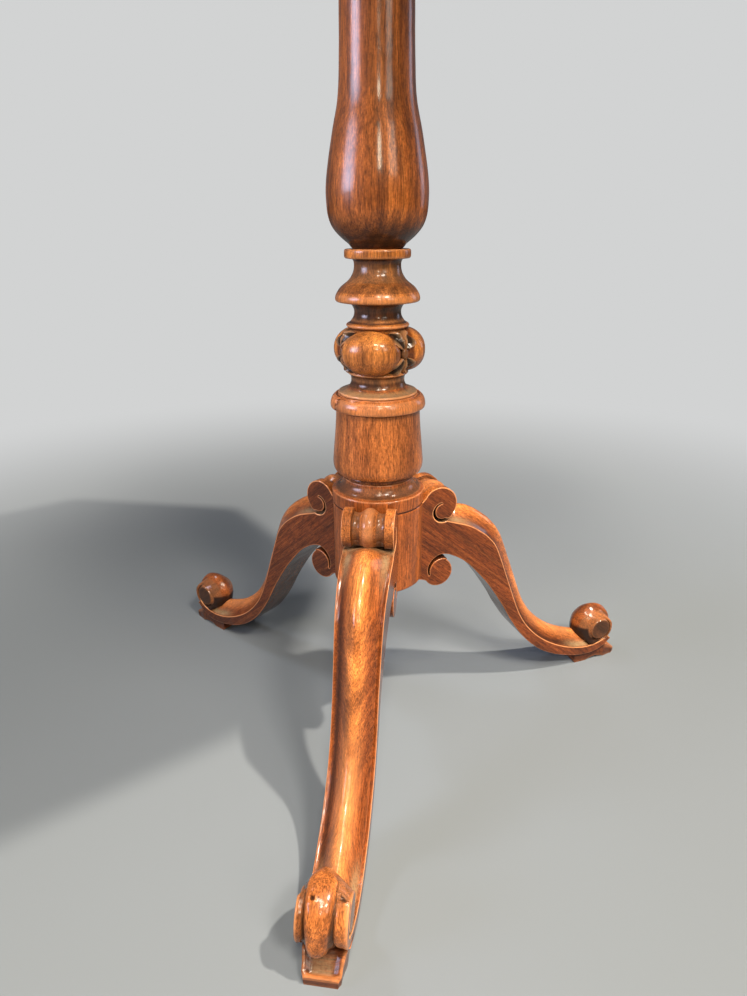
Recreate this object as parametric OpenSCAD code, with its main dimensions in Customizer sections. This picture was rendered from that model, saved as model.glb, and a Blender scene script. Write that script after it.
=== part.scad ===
// Octagonal occasional table: a turned pillar on three scrolled legs carries an eight-sided top.
// Millimetres, Z up. The origin is on the floor, on the axis of the pillar.
// The front leg points nearly along -Y and the flats of the top face the axes.

/* [Top] */
// Width of the finished top from flat to flat
top_across = 560; // [480:1:640]
// Height of the finished top above the floor
top_height = 720; // [708:1:760]
// Thickness of the three boards under the veneer
board_thick = 18; // [15:0.5:24]
// Thickness of the saw-cut veneer
veneer_thick = 1.2; // [0.6:0.1:2]
// Width of the mitred moulding round the edge, seen from above
moulding_wide = 14; // [10:0.5:20]
// Depth of the edge moulding below the face of the top
moulding_deep = 25; // [22:0.5:32]
// Radius of the thumb moulding worked on the edge
thumb_radius = 7; // [4:0.5:9]

/* [Block under the top] */
// Width of the eight-sided block from flat to flat
block_across = 236; // [216:1:280]
// Thickness of the block
block_thick = 24; // [20:0.5:30]
// Chamfer round the lower edge of the block
block_chamfer = 8; // [3:0.5:12]
// Radius of the ring of screws through the block
screw_ring = 100; // [98:0.5:103]
// Diameter of the screw shanks
screw_dia = 5; // [4:0.1:6]
// Length of the screws with their heads
screw_long = 38; // [32:0.5:41]
// Diameter of the countersunk screw heads
screw_head = 9.6; // [8.5:0.1:11]

/* [Pillar] */
// Largest radius of the baluster, at the foot of its swell
baluster_swell = 36.6; // [33:0.1:40]
// Radius of the waist of the baluster at its middle height
baluster_waist = 24.6; // [21:0.1:28]
// Radius of the baluster just under its upper rings
baluster_top = 22; // [19:0.1:25]
// Radius of the cap that bears on the block
cap_radius = 33; // [29:0.5:40]
// Radius of the round tenon through the block
tenon_radius = 16; // [12:0.5:19]
// Height from the middle of the knop to the seat of the baluster
rings_high = 73; // [64:0.5:80]
// Radius of the thin ring under the baluster
ring_radius = 24.7; // [22:0.1:28]
// Thickness of the thin ring under the baluster
ring_high = 6.9; // [4:0.1:8]
// Radius of the bell-shaped ring above the knop
bell_radius = 31.9; // [28:0.1:35]
// Radius of the coves above and below the bell ring
cove_radius = 17.6; // [16:0.1:19.5]
// Height of the middle of the carved knop above the drum
neck_high = 33.5; // [30:0.5:38]
// Radius of the round core between the carved bosses
knop_core = 27; // [25:0.5:29]
// Number of carved bosses round the knop
bosses = 3; // [2:1:4]
// Half of the width of one boss, round the knop
boss_half_wide = 23; // [18:0.5:24]
// Half of the height of one boss
boss_half_high = 16.3; // [13:0.1:17]
// Radius from the pillar's axis to the face of a boss
boss_reach = 36.8; // [34:0.5:39]
// Radius of the carved bead between two bosses
bead_radius = 4.5; // [3:0.5:6]
// Radius of the flat disc at the foot of the knop section
disc_radius = 31.3; // [29:0.1:33]
// Height of the drum, from the hub to the knop section
drum_high = 68.5; // [60:0.5:76]
// Radius of the round moulding at the head of the drum
torus_radius = 37.6; // [35:0.1:40]
// Largest radius of the drum
drum_radius = 36.6; // [35:0.1:37.5]
// Radius of the three turned spigots that join the pillar
spigot_radius = 11; // [8:0.5:13]
// Length of each spigot
spigot_long = 30; // [22:0.5:36]
// Gap left for glue round spigots and tongues
glue_gap = 0.15; // [0.1:0.05:0.3]

/* [Hub] */
// Radius of the hub that the legs join
hub_radius = 38; // [36.5:0.1:40]
// Height of the upper arris of the hub, under its cove
hub_arris = 221.5; // [210:0.5:234]
// Depth of the hub below its upper arris
hub_deep = 82.5; // [80:0.5:88]
// Depth of the collar round the hub, down to the line cut under it
collar_deep = 11.5; // [8:0.5:14]
// Height of the cove that joins the hub to the drum
hub_cove_high = 10.5; // [8:0.5:13]

/* [Legs] */
// Half of the thickness of a leg at the hub
leg_half_head = 20.3; // [18.5:0.1:21.5]
// Half of the thickness of a leg along its lower sweep
leg_half_sweep = 17.2; // [15:0.1:18]
// Height of the rounded rib above the side arrises
rib_high = 13; // [9:0.5:15]
// Height that the thin side arris stands above its hollow
arris_high = 0.8; // [0.4:0.1:1.4]
// Radius of the roll at the head of a leg
head_roll = 15.6; // [14:0.1:16.5]
// Radius of the hanging scroll under the head of a leg
low_roll = 13.2; // [12:0.1:14]
// Radius of the bead round the middle of the toe roll
toe_roll = 22.3; // [20:0.1:24]
// Radius of the flat eye at each end of the toe roll
toe_eye = 12; // [9:0.5:14]
// Depth of the dovetail tongue into the hub
tongue_deep = 11; // [8:0.5:13]
// Width of the dovetail tongue at the face of the hub
tongue_neck = 13; // [10:0.5:16]
// Width of the dovetail tongue at its inner edge
tongue_wide = 19; // [15:0.5:21]

/* [Foot pads] */
// Width of a foot pad
pad_wide = 25; // [20:0.5:30]
// Distance from the pillar's axis to the lip of a pad
pad_reach = 263; // [260:0.5:268]
// Distance from the middle of the toe roll to the lip of a pad
pad_proud = 24; // [22:0.5:27]
// Length of a foot pad on the floor
pad_long = 51.5; // [48:0.5:54]
// Height of the lip at the toe
pad_lip = 6.5; // [4:0.5:8]

/* [Hidden] */
round_faces = 96;
small = 0.01;

// Heights of the top, counted down from its face
veneer_low = top_height - veneer_thick;
board_low = veneer_low - board_thick;
block_low = board_low - block_thick;
board_across = top_across - 2 * moulding_wide;
board_width = board_across / 3;

// Heights of the pillar, counted up from the hub's arris
hub_bottom = hub_arris - hub_deep;
collar_line = hub_arris - collar_deep;
hub_top = hub_arris + hub_cove_high;
drum_top = hub_top + drum_high;
knop_height = drum_top + neck_high;
baluster_foot = knop_height + rings_high;

// Colours of the woods and the iron
rosewood = "#6B2C19";
walnut = "#8A4A28";
pine = "#B98A58";
iron = "#4A4744";

// Point on a circle in the plane of an outline
function polar(centre, radius, angle) = centre + radius * [cos(angle), sin(angle)];

// Arc of points in the plane of an outline
function arc(centre, radius, from, to, steps) =
    [for (i = [0:steps]) polar(centre, radius, from + (to - from) * i / steps)];

// Smooth curve through hand-chosen points, each with any number of values
function curve_at(p, i, t) =
    let (a = p[max(i - 1, 0)], b = p[i], c = p[i + 1], d = p[min(i + 2, len(p) - 1)])
    0.5 * (2 * b + (c - a) * t + (2 * a - 5 * b + 4 * c - d) * t * t + (3 * b - a - 3 * c + d) * t * t * t);
function curve(p, steps) = concat(
    [for (i = [0:len(p) - 2], j = [0:steps - 1]) curve_at(p, i, j / steps)], [p[len(p) - 1]]);

// Eight-sided prism with its flats facing the axes
module octagon(across, high) {
    linear_extrude(high)
        rotate(22.5)
            circle(r = across / 2 / cos(22.5), $fn = 8);
}

// Piece of the ground of the top between two long edges
module board(from_x, to_x) {
    color(pine)
        difference() {
            intersection() {
                translate([0, 0, board_low])
                    octagon(board_across, board_thick);
                translate([from_x, -top_across, board_low - 1])
                    cube([to_x - from_x, 2 * top_across, board_thick + 2]);
            }
            for (i = [0:7])
                rotate(45 * i)
                    translate([screw_ring, 0, board_low - 1])
                        cylinder(d = screw_dia + 2 * glue_gap, h = screw_long - block_thick + 2, $fn = 32);
        }
}

module top_board_left() board(-board_across / 2 - 1, -board_width / 2);
module top_board_middle() board(-board_width / 2, board_width / 2);
module top_board_right() board(board_width / 2, board_across / 2 + 1);

// One of the eight radiating leaves of veneer
module top_veneer(index) {
    half = board_across / 2 * tan(22.5);
    color(rosewood)
        translate([0, 0, veneer_low])
            rotate(45 * index)
                linear_extrude(veneer_thick)
                    polygon([[0, 0], [board_across / 2, -half], [board_across / 2, half]]);
}

// Section of the edge moulding: x is the distance from the middle of the top
moulding_section = let (out = top_across / 2, low = top_height - moulding_deep) concat(
    [[out - moulding_wide, low], [out - moulding_wide / 2, low]],
    arc([out - moulding_wide / 2, low + 5], 4, -60, 30, 6),
    [[out - 2.5, low + 9], [out, low + 9]],
    arc([out - thumb_radius, top_height - thumb_radius], thumb_radius, 0, 90, 10),
    [[out - moulding_wide, top_height]]);

// One mitred length of the edge moulding
module edge_moulding(index) {
    half = top_across / 2 * tan(22.5);
    reach = top_across / 2 + 1;
    color(rosewood)
        rotate(45 * index)
            intersection() {
                translate([0, half, 0])
                    rotate([90, 0, 0])
                        linear_extrude(2 * half)
                            polygon(moulding_section);
                translate([0, 0, top_height - moulding_deep - 1])
                    linear_extrude(moulding_deep + 2)
                        polygon([[0, 0], [reach, -reach * tan(22.5)], [reach, reach * tan(22.5)]]);
            }
}

// Block screwed under the boards: the pillar's tenon goes through it
module top_block() {
    low_across = block_across - 2 * block_chamfer;
    color(walnut)
        difference() {
            translate([0, 0, block_low])
                octagon(block_across, block_thick);
            for (i = [0:7])
                rotate(45 * i)
                    translate([low_across / 2, 0, block_low])
                        rotate([0, 45, 0])
                            translate([0, -block_across, -block_chamfer * 4])
                                cube([block_chamfer * 4, 2 * block_across, block_chamfer * 8]);
            translate([0, 0, block_low - 1])
                cylinder(r = tenon_radius + glue_gap, h = block_thick + 2, $fn = round_faces);
            for (i = [0:7])
                rotate(45 * i)
                    translate([screw_ring, 0, block_low])
                        screw_shape(glue_gap);
        }
}

// Countersunk screw with its head down, grown all round by a gap
module screw_shape(gap) {
    head_high = (screw_head - screw_dia) / 2;
    rotate_extrude($fn = 48)
        polygon([
            [0, -gap], [screw_head / 2 + gap, -gap], [screw_head / 2 + gap, 0.4],
            [screw_dia / 2 + gap, 0.4 + head_high], [screw_dia / 2 + gap, screw_long + gap],
            [0, screw_long + gap]
        ]);
}

// Eight iron screws, each with a slot across its head
module block_screws() {
    color(iron)
        for (i = [0:7])
            rotate(45 * i)
                translate([screw_ring, 0, block_low])
                    difference() {
                        screw_shape(0);
                        rotate(20 * i)
                            translate([-screw_head, -0.6, -1])
                                cube([2 * screw_head, 1.2, 2.2]);
                    }
}

// Saw cut in the tenon and the wedge that fills it
tenon_high = block_thick - 0.5;
wedge_thick = 4;
wedge_deep = 20;
module wedge_outline(gap) {
    polygon([
        [-wedge_thick / 2 - gap, tenon_high + gap], [wedge_thick / 2 + gap, tenon_high + gap],
        [0.8 + gap, tenon_high - wedge_deep - gap], [-0.8 - gap, tenon_high - wedge_deep - gap]
    ]);
}

module stem_wedge() {
    half = tenon_radius - 1;
    color(walnut)
        translate([0, half, block_low])
            rotate([90, 0, 0])
                linear_extrude(2 * half)
                    wedge_outline(0);
}

// Round solid turned from an outline of radius and height
module turned(outline) {
    rotate_extrude($fn = round_faces)
        polygon(outline);
}

// Round bore for a spigot that comes down from the piece above
module spigot_bore(face) {
    translate([0, 0, face - spigot_long - 1])
        cylinder(r = spigot_radius + glue_gap, h = spigot_long + 1 + small, $fn = round_faces);
}

// Height on the shaft of the baluster, as a share from its foot to its upper rings
function shaft_at(share) = baluster_foot + (block_low - 32 - baluster_foot) * share;

// Main turning of the pillar, from its spigot to its tenon
baluster_curve = curve([
    [baluster_swell - 15.8, shaft_at(0.013)], [baluster_swell - 9.6, shaft_at(0.034)],
    [baluster_swell - 3.9, shaft_at(0.062)], [baluster_swell - 0.9, shaft_at(0.096)],
    [baluster_swell, shaft_at(0.138)], [baluster_swell - 0.1, shaft_at(0.176)],
    [baluster_swell - 1.7, shaft_at(0.23)],
    [baluster_waist + 6.5, shaft_at(0.318)], [baluster_waist + 2.2, shaft_at(0.405)],
    [baluster_waist + 0.7, shaft_at(0.522)], [baluster_waist, shaft_at(0.669)],
    [baluster_top + 1, shaft_at(0.836)], [baluster_top, shaft_at(1)]
], 5);
module baluster() {
    color(rosewood)
        difference() {
            turned(concat(
                [[0, baluster_foot - spigot_long], [spigot_radius - 1, baluster_foot - spigot_long],
                [spigot_radius, baluster_foot - spigot_long + 1], [spigot_radius, baluster_foot],
                [baluster_swell - 18.2, baluster_foot]],
                baluster_curve,
                [[baluster_top, block_low - 31]],
                arc([baluster_top + 1.5, block_low - 27], 4, -90, 90, 10),
                [[baluster_top, block_low - 22]],
                [for (a = [0:15:90]) [
                    baluster_top + (cap_radius - 3 - baluster_top) * (1 - cos(a)),
                    block_low - 22 + 14 * sin(a)]],
                [[cap_radius, block_low - 7.5], [cap_radius, block_low - 1.5],
                [cap_radius - 1.5, block_low], [tenon_radius, block_low],
                [tenon_radius, block_low + tenon_high], [0, block_low + tenon_high]]));
            translate([0, tenon_radius - 1 + glue_gap, block_low])
                rotate([90, 0, 0])
                    linear_extrude(2 * (tenon_radius - 1 + glue_gap))
                        wedge_outline(glue_gap);
            translate([-wedge_thick / 2 - glue_gap, -tenon_radius, block_low + tenon_high - small])
                cube([wedge_thick + 2 * glue_gap, 2 * tenon_radius, 1]);
        }
}

// Length of the pillar with its rings and the carved knop
knop_low = knop_height - boss_half_high;
knop_high = knop_height + boss_half_high;
knop_turn = -95.3;
ring_low = baluster_foot - ring_high;
function rings_at(share) = knop_high + (ring_low - knop_high) * share;
module knop_section() {
    color(rosewood)
        difference() {
            union() {
                turned(concat(
                    [[0, drum_top - spigot_long], [spigot_radius - 1, drum_top - spigot_long],
                    [spigot_radius, drum_top - spigot_long + 1], [spigot_radius, drum_top],
                    [disc_radius, drum_top], [disc_radius, drum_top + 2.4],
                    [disc_radius - 4.5, drum_top + 3]],
                    curve([[26.5, drum_top + 3.2], [22.6, drum_top + 5], [20.8, drum_top + 9],
                        [21.4, knop_low - 3], [24, knop_low + 1]], 4),
                    arc([knop_core - 10, knop_height], 10, -60, 60, 10),
                    [[22, rings_at(0.03)], [23.4, rings_at(0.036)], [23.8, rings_at(0.06)],
                    [21.5, rings_at(0.085)]],
                    curve([[20.6, rings_at(0.097)], [cove_radius + 0.6, rings_at(0.171)],
                        [cove_radius + 0.2, rings_at(0.262)], [20.5, rings_at(0.355)]], 4),
                    [[bell_radius - 1.4, rings_at(0.383)], [bell_radius, rings_at(0.403)]],
                    curve([[bell_radius, rings_at(0.423)], [bell_radius - 0.6, rings_at(0.488)],
                        [bell_radius - 4.3, rings_at(0.597)], [cove_radius + 3.8, rings_at(0.694)],
                        [cove_radius + 0.6, rings_at(0.806)], [cove_radius, rings_at(0.938)],
                        [cove_radius + 1.4, rings_at(0.992)]], 4),
                    [[ring_radius - 0.9, ring_low], [ring_radius, ring_low + 0.8],
                    [ring_radius, baluster_foot - 1], [ring_radius - 0.9, baluster_foot],
                    [0, baluster_foot]]));
                for (i = [0:bosses - 1])
                    rotate(knop_turn + 360 / bosses * i)
                        boss();
                for (i = [0:bosses - 1])
                    rotate(knop_turn + 360 / bosses * (i + 0.5))
                        translate([knop_core + 1.5, 0, knop_height])
                            sphere(r = bead_radius, $fn = 32);
            }
            spigot_bore(baluster_foot);
        }
}

// One pillow-shaped boss, round about a level line across its face
module boss() {
    translate([boss_reach - boss_half_high, 0, knop_height])
        rotate([90, 0, 0])
            rotate_extrude($fn = 48)
                polygon([for (a = [-90:10:90]) [
                    boss_half_high * cos(a), boss_half_wide * sin(a)]]);
}

// Height on the side of the drum, as a share from its bead to its neck
function drum_at(share) = hub_top + 5 + (drum_high - 16) * share;

// Drum with the round moulding at its head
module drum() {
    color(walnut)
        difference() {
            turned(concat(
                [[0, hub_top - spigot_long], [spigot_radius - 1, hub_top - spigot_long],
                [spigot_radius, hub_top - spigot_long + 1], [spigot_radius, hub_top],
                [28.5, hub_top]],
                arc([28.4, hub_top + 2.2], 2.1, -80, 80, 8),
                [[28.4, hub_top + 4.4], [33.2, hub_top + 4.5]],
                curve([[drum_radius - 2.2, drum_at(0)], [drum_radius - 0.8, drum_at(0.045)],
                    [drum_radius - 0.1, drum_at(0.105)], [drum_radius, drum_at(0.17)],
                    [drum_radius - 0.3, drum_at(0.25)], [drum_radius - 1.2, drum_at(0.44)],
                    [drum_radius - 2.2, drum_at(0.63)], [drum_radius - 2.9, drum_at(0.82)],
                    [drum_radius - 3.3, drum_at(1)]], 3),
                [[drum_radius - 3, drum_top - 10.8], [torus_radius - 1, drum_top - 10.6]],
                curve([[torus_radius - 0.3, drum_top - 10], [torus_radius, drum_top - 8.3],
                    [torus_radius - 0.5, drum_top - 5.2], [torus_radius - 1.7, drum_top - 2.4],
                    [34.4, drum_top - 0.4]], 4),
                [[33.4, drum_top], [0, drum_top]]));
            spigot_bore(drum_top);
        }
}

// Hub with three flats and three dovetail housings that open downwards
flat_radius = sqrt(hub_radius * hub_radius - leg_half_head * leg_half_head);
housing_top = collar_line - 6;
flat_top = hub_arris - 7.5;
leg_angles = [-89, 29, 150];
module hub() {
    color(walnut)
        difference() {
            turned(concat(
                [[0, hub_bottom], [hub_radius - 1, hub_bottom], [hub_radius, hub_bottom + 1],
                [hub_radius, collar_line - 0.8], [hub_radius - 0.9, collar_line],
                [hub_radius, collar_line + 0.6], [hub_radius, hub_arris]],
                [for (a = [0:15:90]) [
                    hub_radius - 0.6 - (hub_radius - 29.1) * sin(a),
                    hub_arris + 0.2 + (hub_top - 0.6 - hub_arris) * (1 - cos(a))]],
                [[28.5, hub_top], [0, hub_top]]));
            spigot_bore(hub_top);
            for (a = leg_angles)
                rotate(a) {
                    translate([flat_radius, -hub_radius, hub_bottom - 1])
                        cube([hub_radius, 2 * hub_radius, flat_top - hub_bottom + 1]);
                    translate([0, 0, hub_bottom - 1])
                        linear_extrude(housing_top - hub_bottom + 1)
                            tongue_outline(glue_gap);
                }
        }
}

// Plan of a dovetail tongue, grown by a gap on its buried faces
module tongue_outline(gap) {
    inner = flat_radius - tongue_deep;
    polygon([
        [flat_radius + gap, -tongue_neck / 2 - gap], [flat_radius + gap, tongue_neck / 2 + gap],
        [inner - gap, tongue_wide / 2 + gap], [inner - gap, -tongue_wide / 2 - gap]
    ]);
}

// Places on a leg follow its toe and the hub's arris: they are drawn for a toe
// that stands 239 out and an arris that stands 221.5 up
toe_reach = pad_reach - pad_proud;
function on_leg(p) = [p[0] * toe_reach / 239, p[1] * hub_arris / 221.5];

// Stations along a leg: reach and height of the upper arris, reach and height
// of the lower arris, half of the thickness, and the height of the rib
leg_stations = [
    [44, 189, 44, 158.5, leg_half_head, 0],
    [56, 187.4, 51, 158, leg_half_head, rib_high * 0.5],
    [66, 185.3, 59, 156.3, leg_half_head, rib_high * 0.85],
    [77, 181, 66, 152.5, leg_half_head - 0.4, rib_high * 0.95],
    [88, 174.2, 74, 147, leg_half_head - 0.9, rib_high],
    [98, 166, 82, 139.5, leg_half_head - 1.5, rib_high],
    [106.5, 155.5, 90, 130.5, leg_half_head - 2, rib_high],
    [113.5, 140, 98.5, 120.5, leg_half_sweep + 0.6, rib_high],
    [119.5, 124.5, 106, 110, leg_half_sweep + 0.3, rib_high],
    [125.5, 109, 113, 99.5, leg_half_sweep, rib_high],
    [131, 94.5, 119.5, 89, leg_half_sweep, rib_high],
    [138, 78, 128, 74, leg_half_sweep, rib_high],
    [147, 63, 138.5, 58, leg_half_sweep, rib_high],
    [159, 49.5, 151, 43, leg_half_sweep, rib_high],
    [174, 37.5, 168, 28.5, leg_half_sweep, rib_high],
    [190, 28.7, 186, 19.2, leg_half_sweep, rib_high],
    [205, 23, 203, 13.6, leg_half_sweep - 0.1, rib_high],
    [219, 20, 218, 10.8, leg_half_sweep - 0.3, rib_high * 0.9],
    [231, 20, 232, 11, leg_half_sweep - 0.6, rib_high * 0.6],
    [241, 22.3, 244, 15.4, leg_half_sweep - 0.9, rib_high * 0.25],
    [248, 27.5, 252.6, 22.6, leg_half_sweep - 1.2, 0]
];
station_steps = 2;
leg_curve = [for (p = curve(leg_stations, station_steps))
    concat(on_leg([p[0], p[1]]), on_leg([p[2], p[3]]), [p[4], p[5]])];

// Upper face across a leg: share of the half thickness and height above the
// arris line, with a rounded rib, a hollow on each side and a thin raised arris
across_shares = [-1, -0.93, -0.8, -0.66, -0.54, -0.42, -0.3, -0.15, 0, 0.15, 0.3, 0.42, 0.54, 0.66, 0.8, 0.93, 1];
function rib_share(s) =
    let (u = min(abs(s) / 0.86, 1))
    (1 + cos(180 * u)) / 2;
function upper_height(s, rib) =
    rib * rib_share(s) - min(arris_high, rib * 0.2) * min(1, (1 - abs(s)) * 9);

// Closed ring of points round the leg at one station
function leg_ring(p) =
    let (up = [p[0] - p[2], p[1] - p[3]], lean = up / norm(up))
    concat(
        [[p[2], p[4], p[3]], [p[2], -p[4], p[3]]],
        [for (s = across_shares)
            let (h = upper_height(s, p[5]))
            [p[0] + lean[0] * h, s * p[4], p[1] + lean[1] * h]]);

// Solid swept through the rings, with a flat face at each end
module leg_sweep() {
    rings = [for (p = leg_curve) leg_ring(p)];
    n = len(rings[0]);
    last = len(rings) - 1;
    polyhedron(
        points = [for (r = rings, q = r) q],
        faces = concat(
            [[for (j = [n:-1:1]) j % n]],
            [[for (j = [0:n - 1]) last * n + j]],
            [for (i = [0:last - 1], j = [0:n - 1])
                let (a = i * n + j, b = i * n + (j + 1) % n)
                [a, b, a + n]],
            [for (i = [0:last - 1], j = [0:n - 1])
                let (b = i * n + (j + 1) % n, c = (i + 1) * n + j)
                [b, c + (j == n - 1 ? 1 - n : 1), c]]));
}

// Plate cut to an outline of reach and height, as thick as the head of a leg
module leg_plate(half) {
    translate([0, half, 0])
        rotate([90, 0, 0])
            linear_extrude(2 * half)
                children();
}

// Centres of the three scrolls of a leg, as reach and height
head_centre = on_leg([48.3, 220.3]) - [0, head_roll];
head_eye = on_leg([51, 198.4]);
low_centre = on_leg([61.7, 141]) - [low_roll, 0];
low_eye = on_leg([51, 141.5]);
toe_centre = on_leg([239, 36]);

// Outline of the head of a leg, from the hub round both scrolls
throat = head_roll - 6.9;
head_outline = concat(
    [[flat_radius, hub_bottom + 3]],
    arc(low_centre, low_roll, 205, 405, 24),
    [on_leg([55.5, 154.5]), on_leg([56, 157.6]), on_leg([66, 170]), on_leg([60, 186.6])],
    arc(on_leg([54.4, 200.6]), throat, -85, -10, 8),
    arc(head_centre, head_roll, -15, 144, 22),
    [[flat_radius, flat_top - 0.2]]);

// Curled saw cut round an eye that widens or narrows along its way
module curl_cut(centre, from, to, inner_from, inner_to, outer_from, outer_to) {
    steps = 20;
    polygon(concat(
        [for (i = [0:steps]) polar(centre,
            inner_from + (inner_to - inner_from) * i / steps, from + (to - from) * i / steps)],
        [for (i = [steps:-1:0]) polar(centre,
            outer_from + (outer_to - outer_from) * i / steps, from + (to - from) * i / steps)]));
}

// Head of a leg with its roll, its hanging scroll and its dovetail tongue
module leg_head() {
    difference() {
        union() {
            leg_plate(leg_half_head)
                polygon(head_outline);
            translate([0, 0, hub_bottom + 3.5])
                linear_extrude(housing_top - 0.5 - hub_bottom - 3.5)
                    tongue_outline(0);
        }
        translate([0, 0, flat_top - 0.2])
            cylinder(r = hub_radius + glue_gap, h = hub_arris - flat_top, $fn = round_faces);
        leg_plate(leg_half_head + 1)
            curl_cut(head_eye, 95, 318, throat - 1.8, throat - 1.8, throat - 1.3, throat + 1.9);
        leg_plate(leg_half_head + 1)
            curl_cut(low_eye, 48, 195, low_roll - 0.6, low_roll - 3.4, low_roll + 5.4, low_roll - 2.4);
        for (side = [-1, 1])
            translate([head_centre[0], side * leg_half_head * 0.45, head_centre[1]])
                rotate([90, 0, 0])
                    rotate_extrude(angle = 180, start = -25, $fn = 72)
                        polygon([[head_roll - 3.4, 0], [head_roll + 2, -leg_half_head * 0.32],
                            [head_roll + 2, leg_half_head * 0.32]]);
    }
}

// Half section of the toe roll: a broad bead, a cove, and a flange each side
toe_half = leg_half_sweep - 1.1;
toe_section = concat(
    [[0, -toe_half], [toe_eye, -toe_half], [toe_roll - 4.6, -toe_half + 2.6], [toe_roll - 3, -toe_half + 5],
    [toe_roll - 3.8, -toe_half + 6.6], [toe_roll - 4.2, -7.8]],
    [for (a = [-60:15:60]) [toe_roll - 3.4 + 3.4 * cos(a * 1.2), 7 * sin(a) / sin(60)]],
    [[toe_roll - 4.2, 7.8], [toe_roll - 3.8, toe_half - 6.6],
    [toe_roll - 3, toe_half - 5], [toe_roll - 4.6, toe_half - 2.6], [toe_eye, toe_half], [0, toe_half]]);
module toe_scroll() {
    translate([toe_centre[0], 0, toe_centre[1]])
        rotate([90, 0, 0])
            rotate_extrude($fn = 72)
                polygon(toe_section);
}

// One whole leg, standing out along +X
module leg() {
    color(walnut)
        union() {
            leg_head();
            leg_sweep();
            toe_scroll();
        }
}

module leg_front() rotate(leg_angles[0]) leg();
module leg_right() rotate(leg_angles[1]) leg();
module leg_left() rotate(leg_angles[2]) leg();

// Pad glued under a toe: its upper face follows the underside of the leg and
// is hollowed to clear the toe roll
pad_gap = 0.3;
function pad_at(share) = pad_reach - pad_long * share;
pad_first = 16 * station_steps + 1;
pad_last = 20 * station_steps;
pad_outline = concat(
    [for (i = [pad_first:pad_last]) [leg_curve[i][2], leg_curve[i][3]]],
    [[pad_reach - 7.5, pad_lip + 8], [pad_reach - 4.5, pad_lip + 2.5], [pad_reach - 1.5, pad_lip],
    [pad_reach, pad_lip - 1.5], [pad_reach, 1.2], [pad_reach - 1.2, 0], [pad_at(0.265), 0],
    [pad_at(0.336), pad_lip * 0.3], [pad_at(0.46), pad_lip * 0.5], [pad_at(0.584), pad_lip * 0.3],
    [pad_at(0.655), 0], [pad_at(0.867), 0], [pad_at(0.938), pad_lip * 0.46], [pad_at(1), pad_lip * 1.23]]);
module foot_pad() {
    color(walnut)
        difference() {
            leg_plate(pad_wide / 2)
                polygon(pad_outline);
            translate([toe_centre[0], pad_wide, toe_centre[1]])
                rotate([90, 0, 0])
                    cylinder(r = toe_roll + pad_gap, h = 2 * pad_wide, $fn = 72);
        }
}

module foot_pad_front() rotate(leg_angles[0]) foot_pad();
module foot_pad_right() rotate(leg_angles[1]) foot_pad();
module foot_pad_left() rotate(leg_angles[2]) foot_pad();

top_board_left();
top_board_middle();
top_board_right();
top_veneer(0);  // top_veneer_1
top_veneer(1);  // top_veneer_2
top_veneer(2);  // top_veneer_3
top_veneer(3);  // top_veneer_4
top_veneer(4);  // top_veneer_5
top_veneer(5);  // top_veneer_6
top_veneer(6);  // top_veneer_7
top_veneer(7);  // top_veneer_8
edge_moulding(0);  // edge_moulding_1
edge_moulding(1);  // edge_moulding_2
edge_moulding(2);  // edge_moulding_3
edge_moulding(3);  // edge_moulding_4
edge_moulding(4);  // edge_moulding_5
edge_moulding(5);  // edge_moulding_6
edge_moulding(6);  // edge_moulding_7
edge_moulding(7);  // edge_moulding_8
top_block();
block_screws();
stem_wedge();
baluster();
knop_section();
drum();
hub();
leg_front();
leg_right();
leg_left();
foot_pad_front();
foot_pad_right();
foot_pad_left();
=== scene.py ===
import math

import bmesh
import bpy
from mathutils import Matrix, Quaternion, Vector, noise
from mathutils.geometry import tessellate_polygon


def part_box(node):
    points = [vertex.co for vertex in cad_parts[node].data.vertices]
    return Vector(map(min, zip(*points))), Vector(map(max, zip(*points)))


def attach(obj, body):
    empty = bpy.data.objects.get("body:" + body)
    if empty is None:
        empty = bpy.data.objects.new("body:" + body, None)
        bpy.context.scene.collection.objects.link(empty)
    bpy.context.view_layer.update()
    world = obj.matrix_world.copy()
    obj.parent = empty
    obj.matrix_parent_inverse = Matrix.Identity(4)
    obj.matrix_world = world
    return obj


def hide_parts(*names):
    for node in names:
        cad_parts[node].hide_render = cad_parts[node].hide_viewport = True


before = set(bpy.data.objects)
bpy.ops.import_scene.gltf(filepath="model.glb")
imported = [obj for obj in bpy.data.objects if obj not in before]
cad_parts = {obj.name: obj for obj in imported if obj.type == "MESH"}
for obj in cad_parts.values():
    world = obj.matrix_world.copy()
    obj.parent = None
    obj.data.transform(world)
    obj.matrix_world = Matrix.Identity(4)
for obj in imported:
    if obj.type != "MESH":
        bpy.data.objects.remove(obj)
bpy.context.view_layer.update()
mm = 0.001


# The room: a plain pale floor under an even pale sky. A small strong lamp hangs
# high on the right, softer ones hang in front and on the left, and cool ones stand
# low like windows on both sides. The camera looks down on the tripod.
def paint(code):
    """Linear colour of an sRGB hex value."""
    parts = [int(code[i:i + 2], 16) / 255 for i in (1, 3, 5)]
    return [c / 12.92 if c <= 0.04045 else ((c + 0.055) / 1.055) ** 2.4 for c in parts] + [1.0]


def put(tree, kind, links=None, **settings):
    """Adds one node with its settings, and fills its inputs with values or links."""
    node = tree.nodes.new(kind)
    for key, value in settings.items():
        setattr(node, key, value)
    for key, value in (links or {}).items():
        if isinstance(value, bpy.types.NodeSocket):
            tree.links.new(value, node.inputs[key])
        else:
            node.inputs[key].default_value = value
    return node


sky_colour = paint("#DCDDDD")
sky_strength = 0.9

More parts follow.
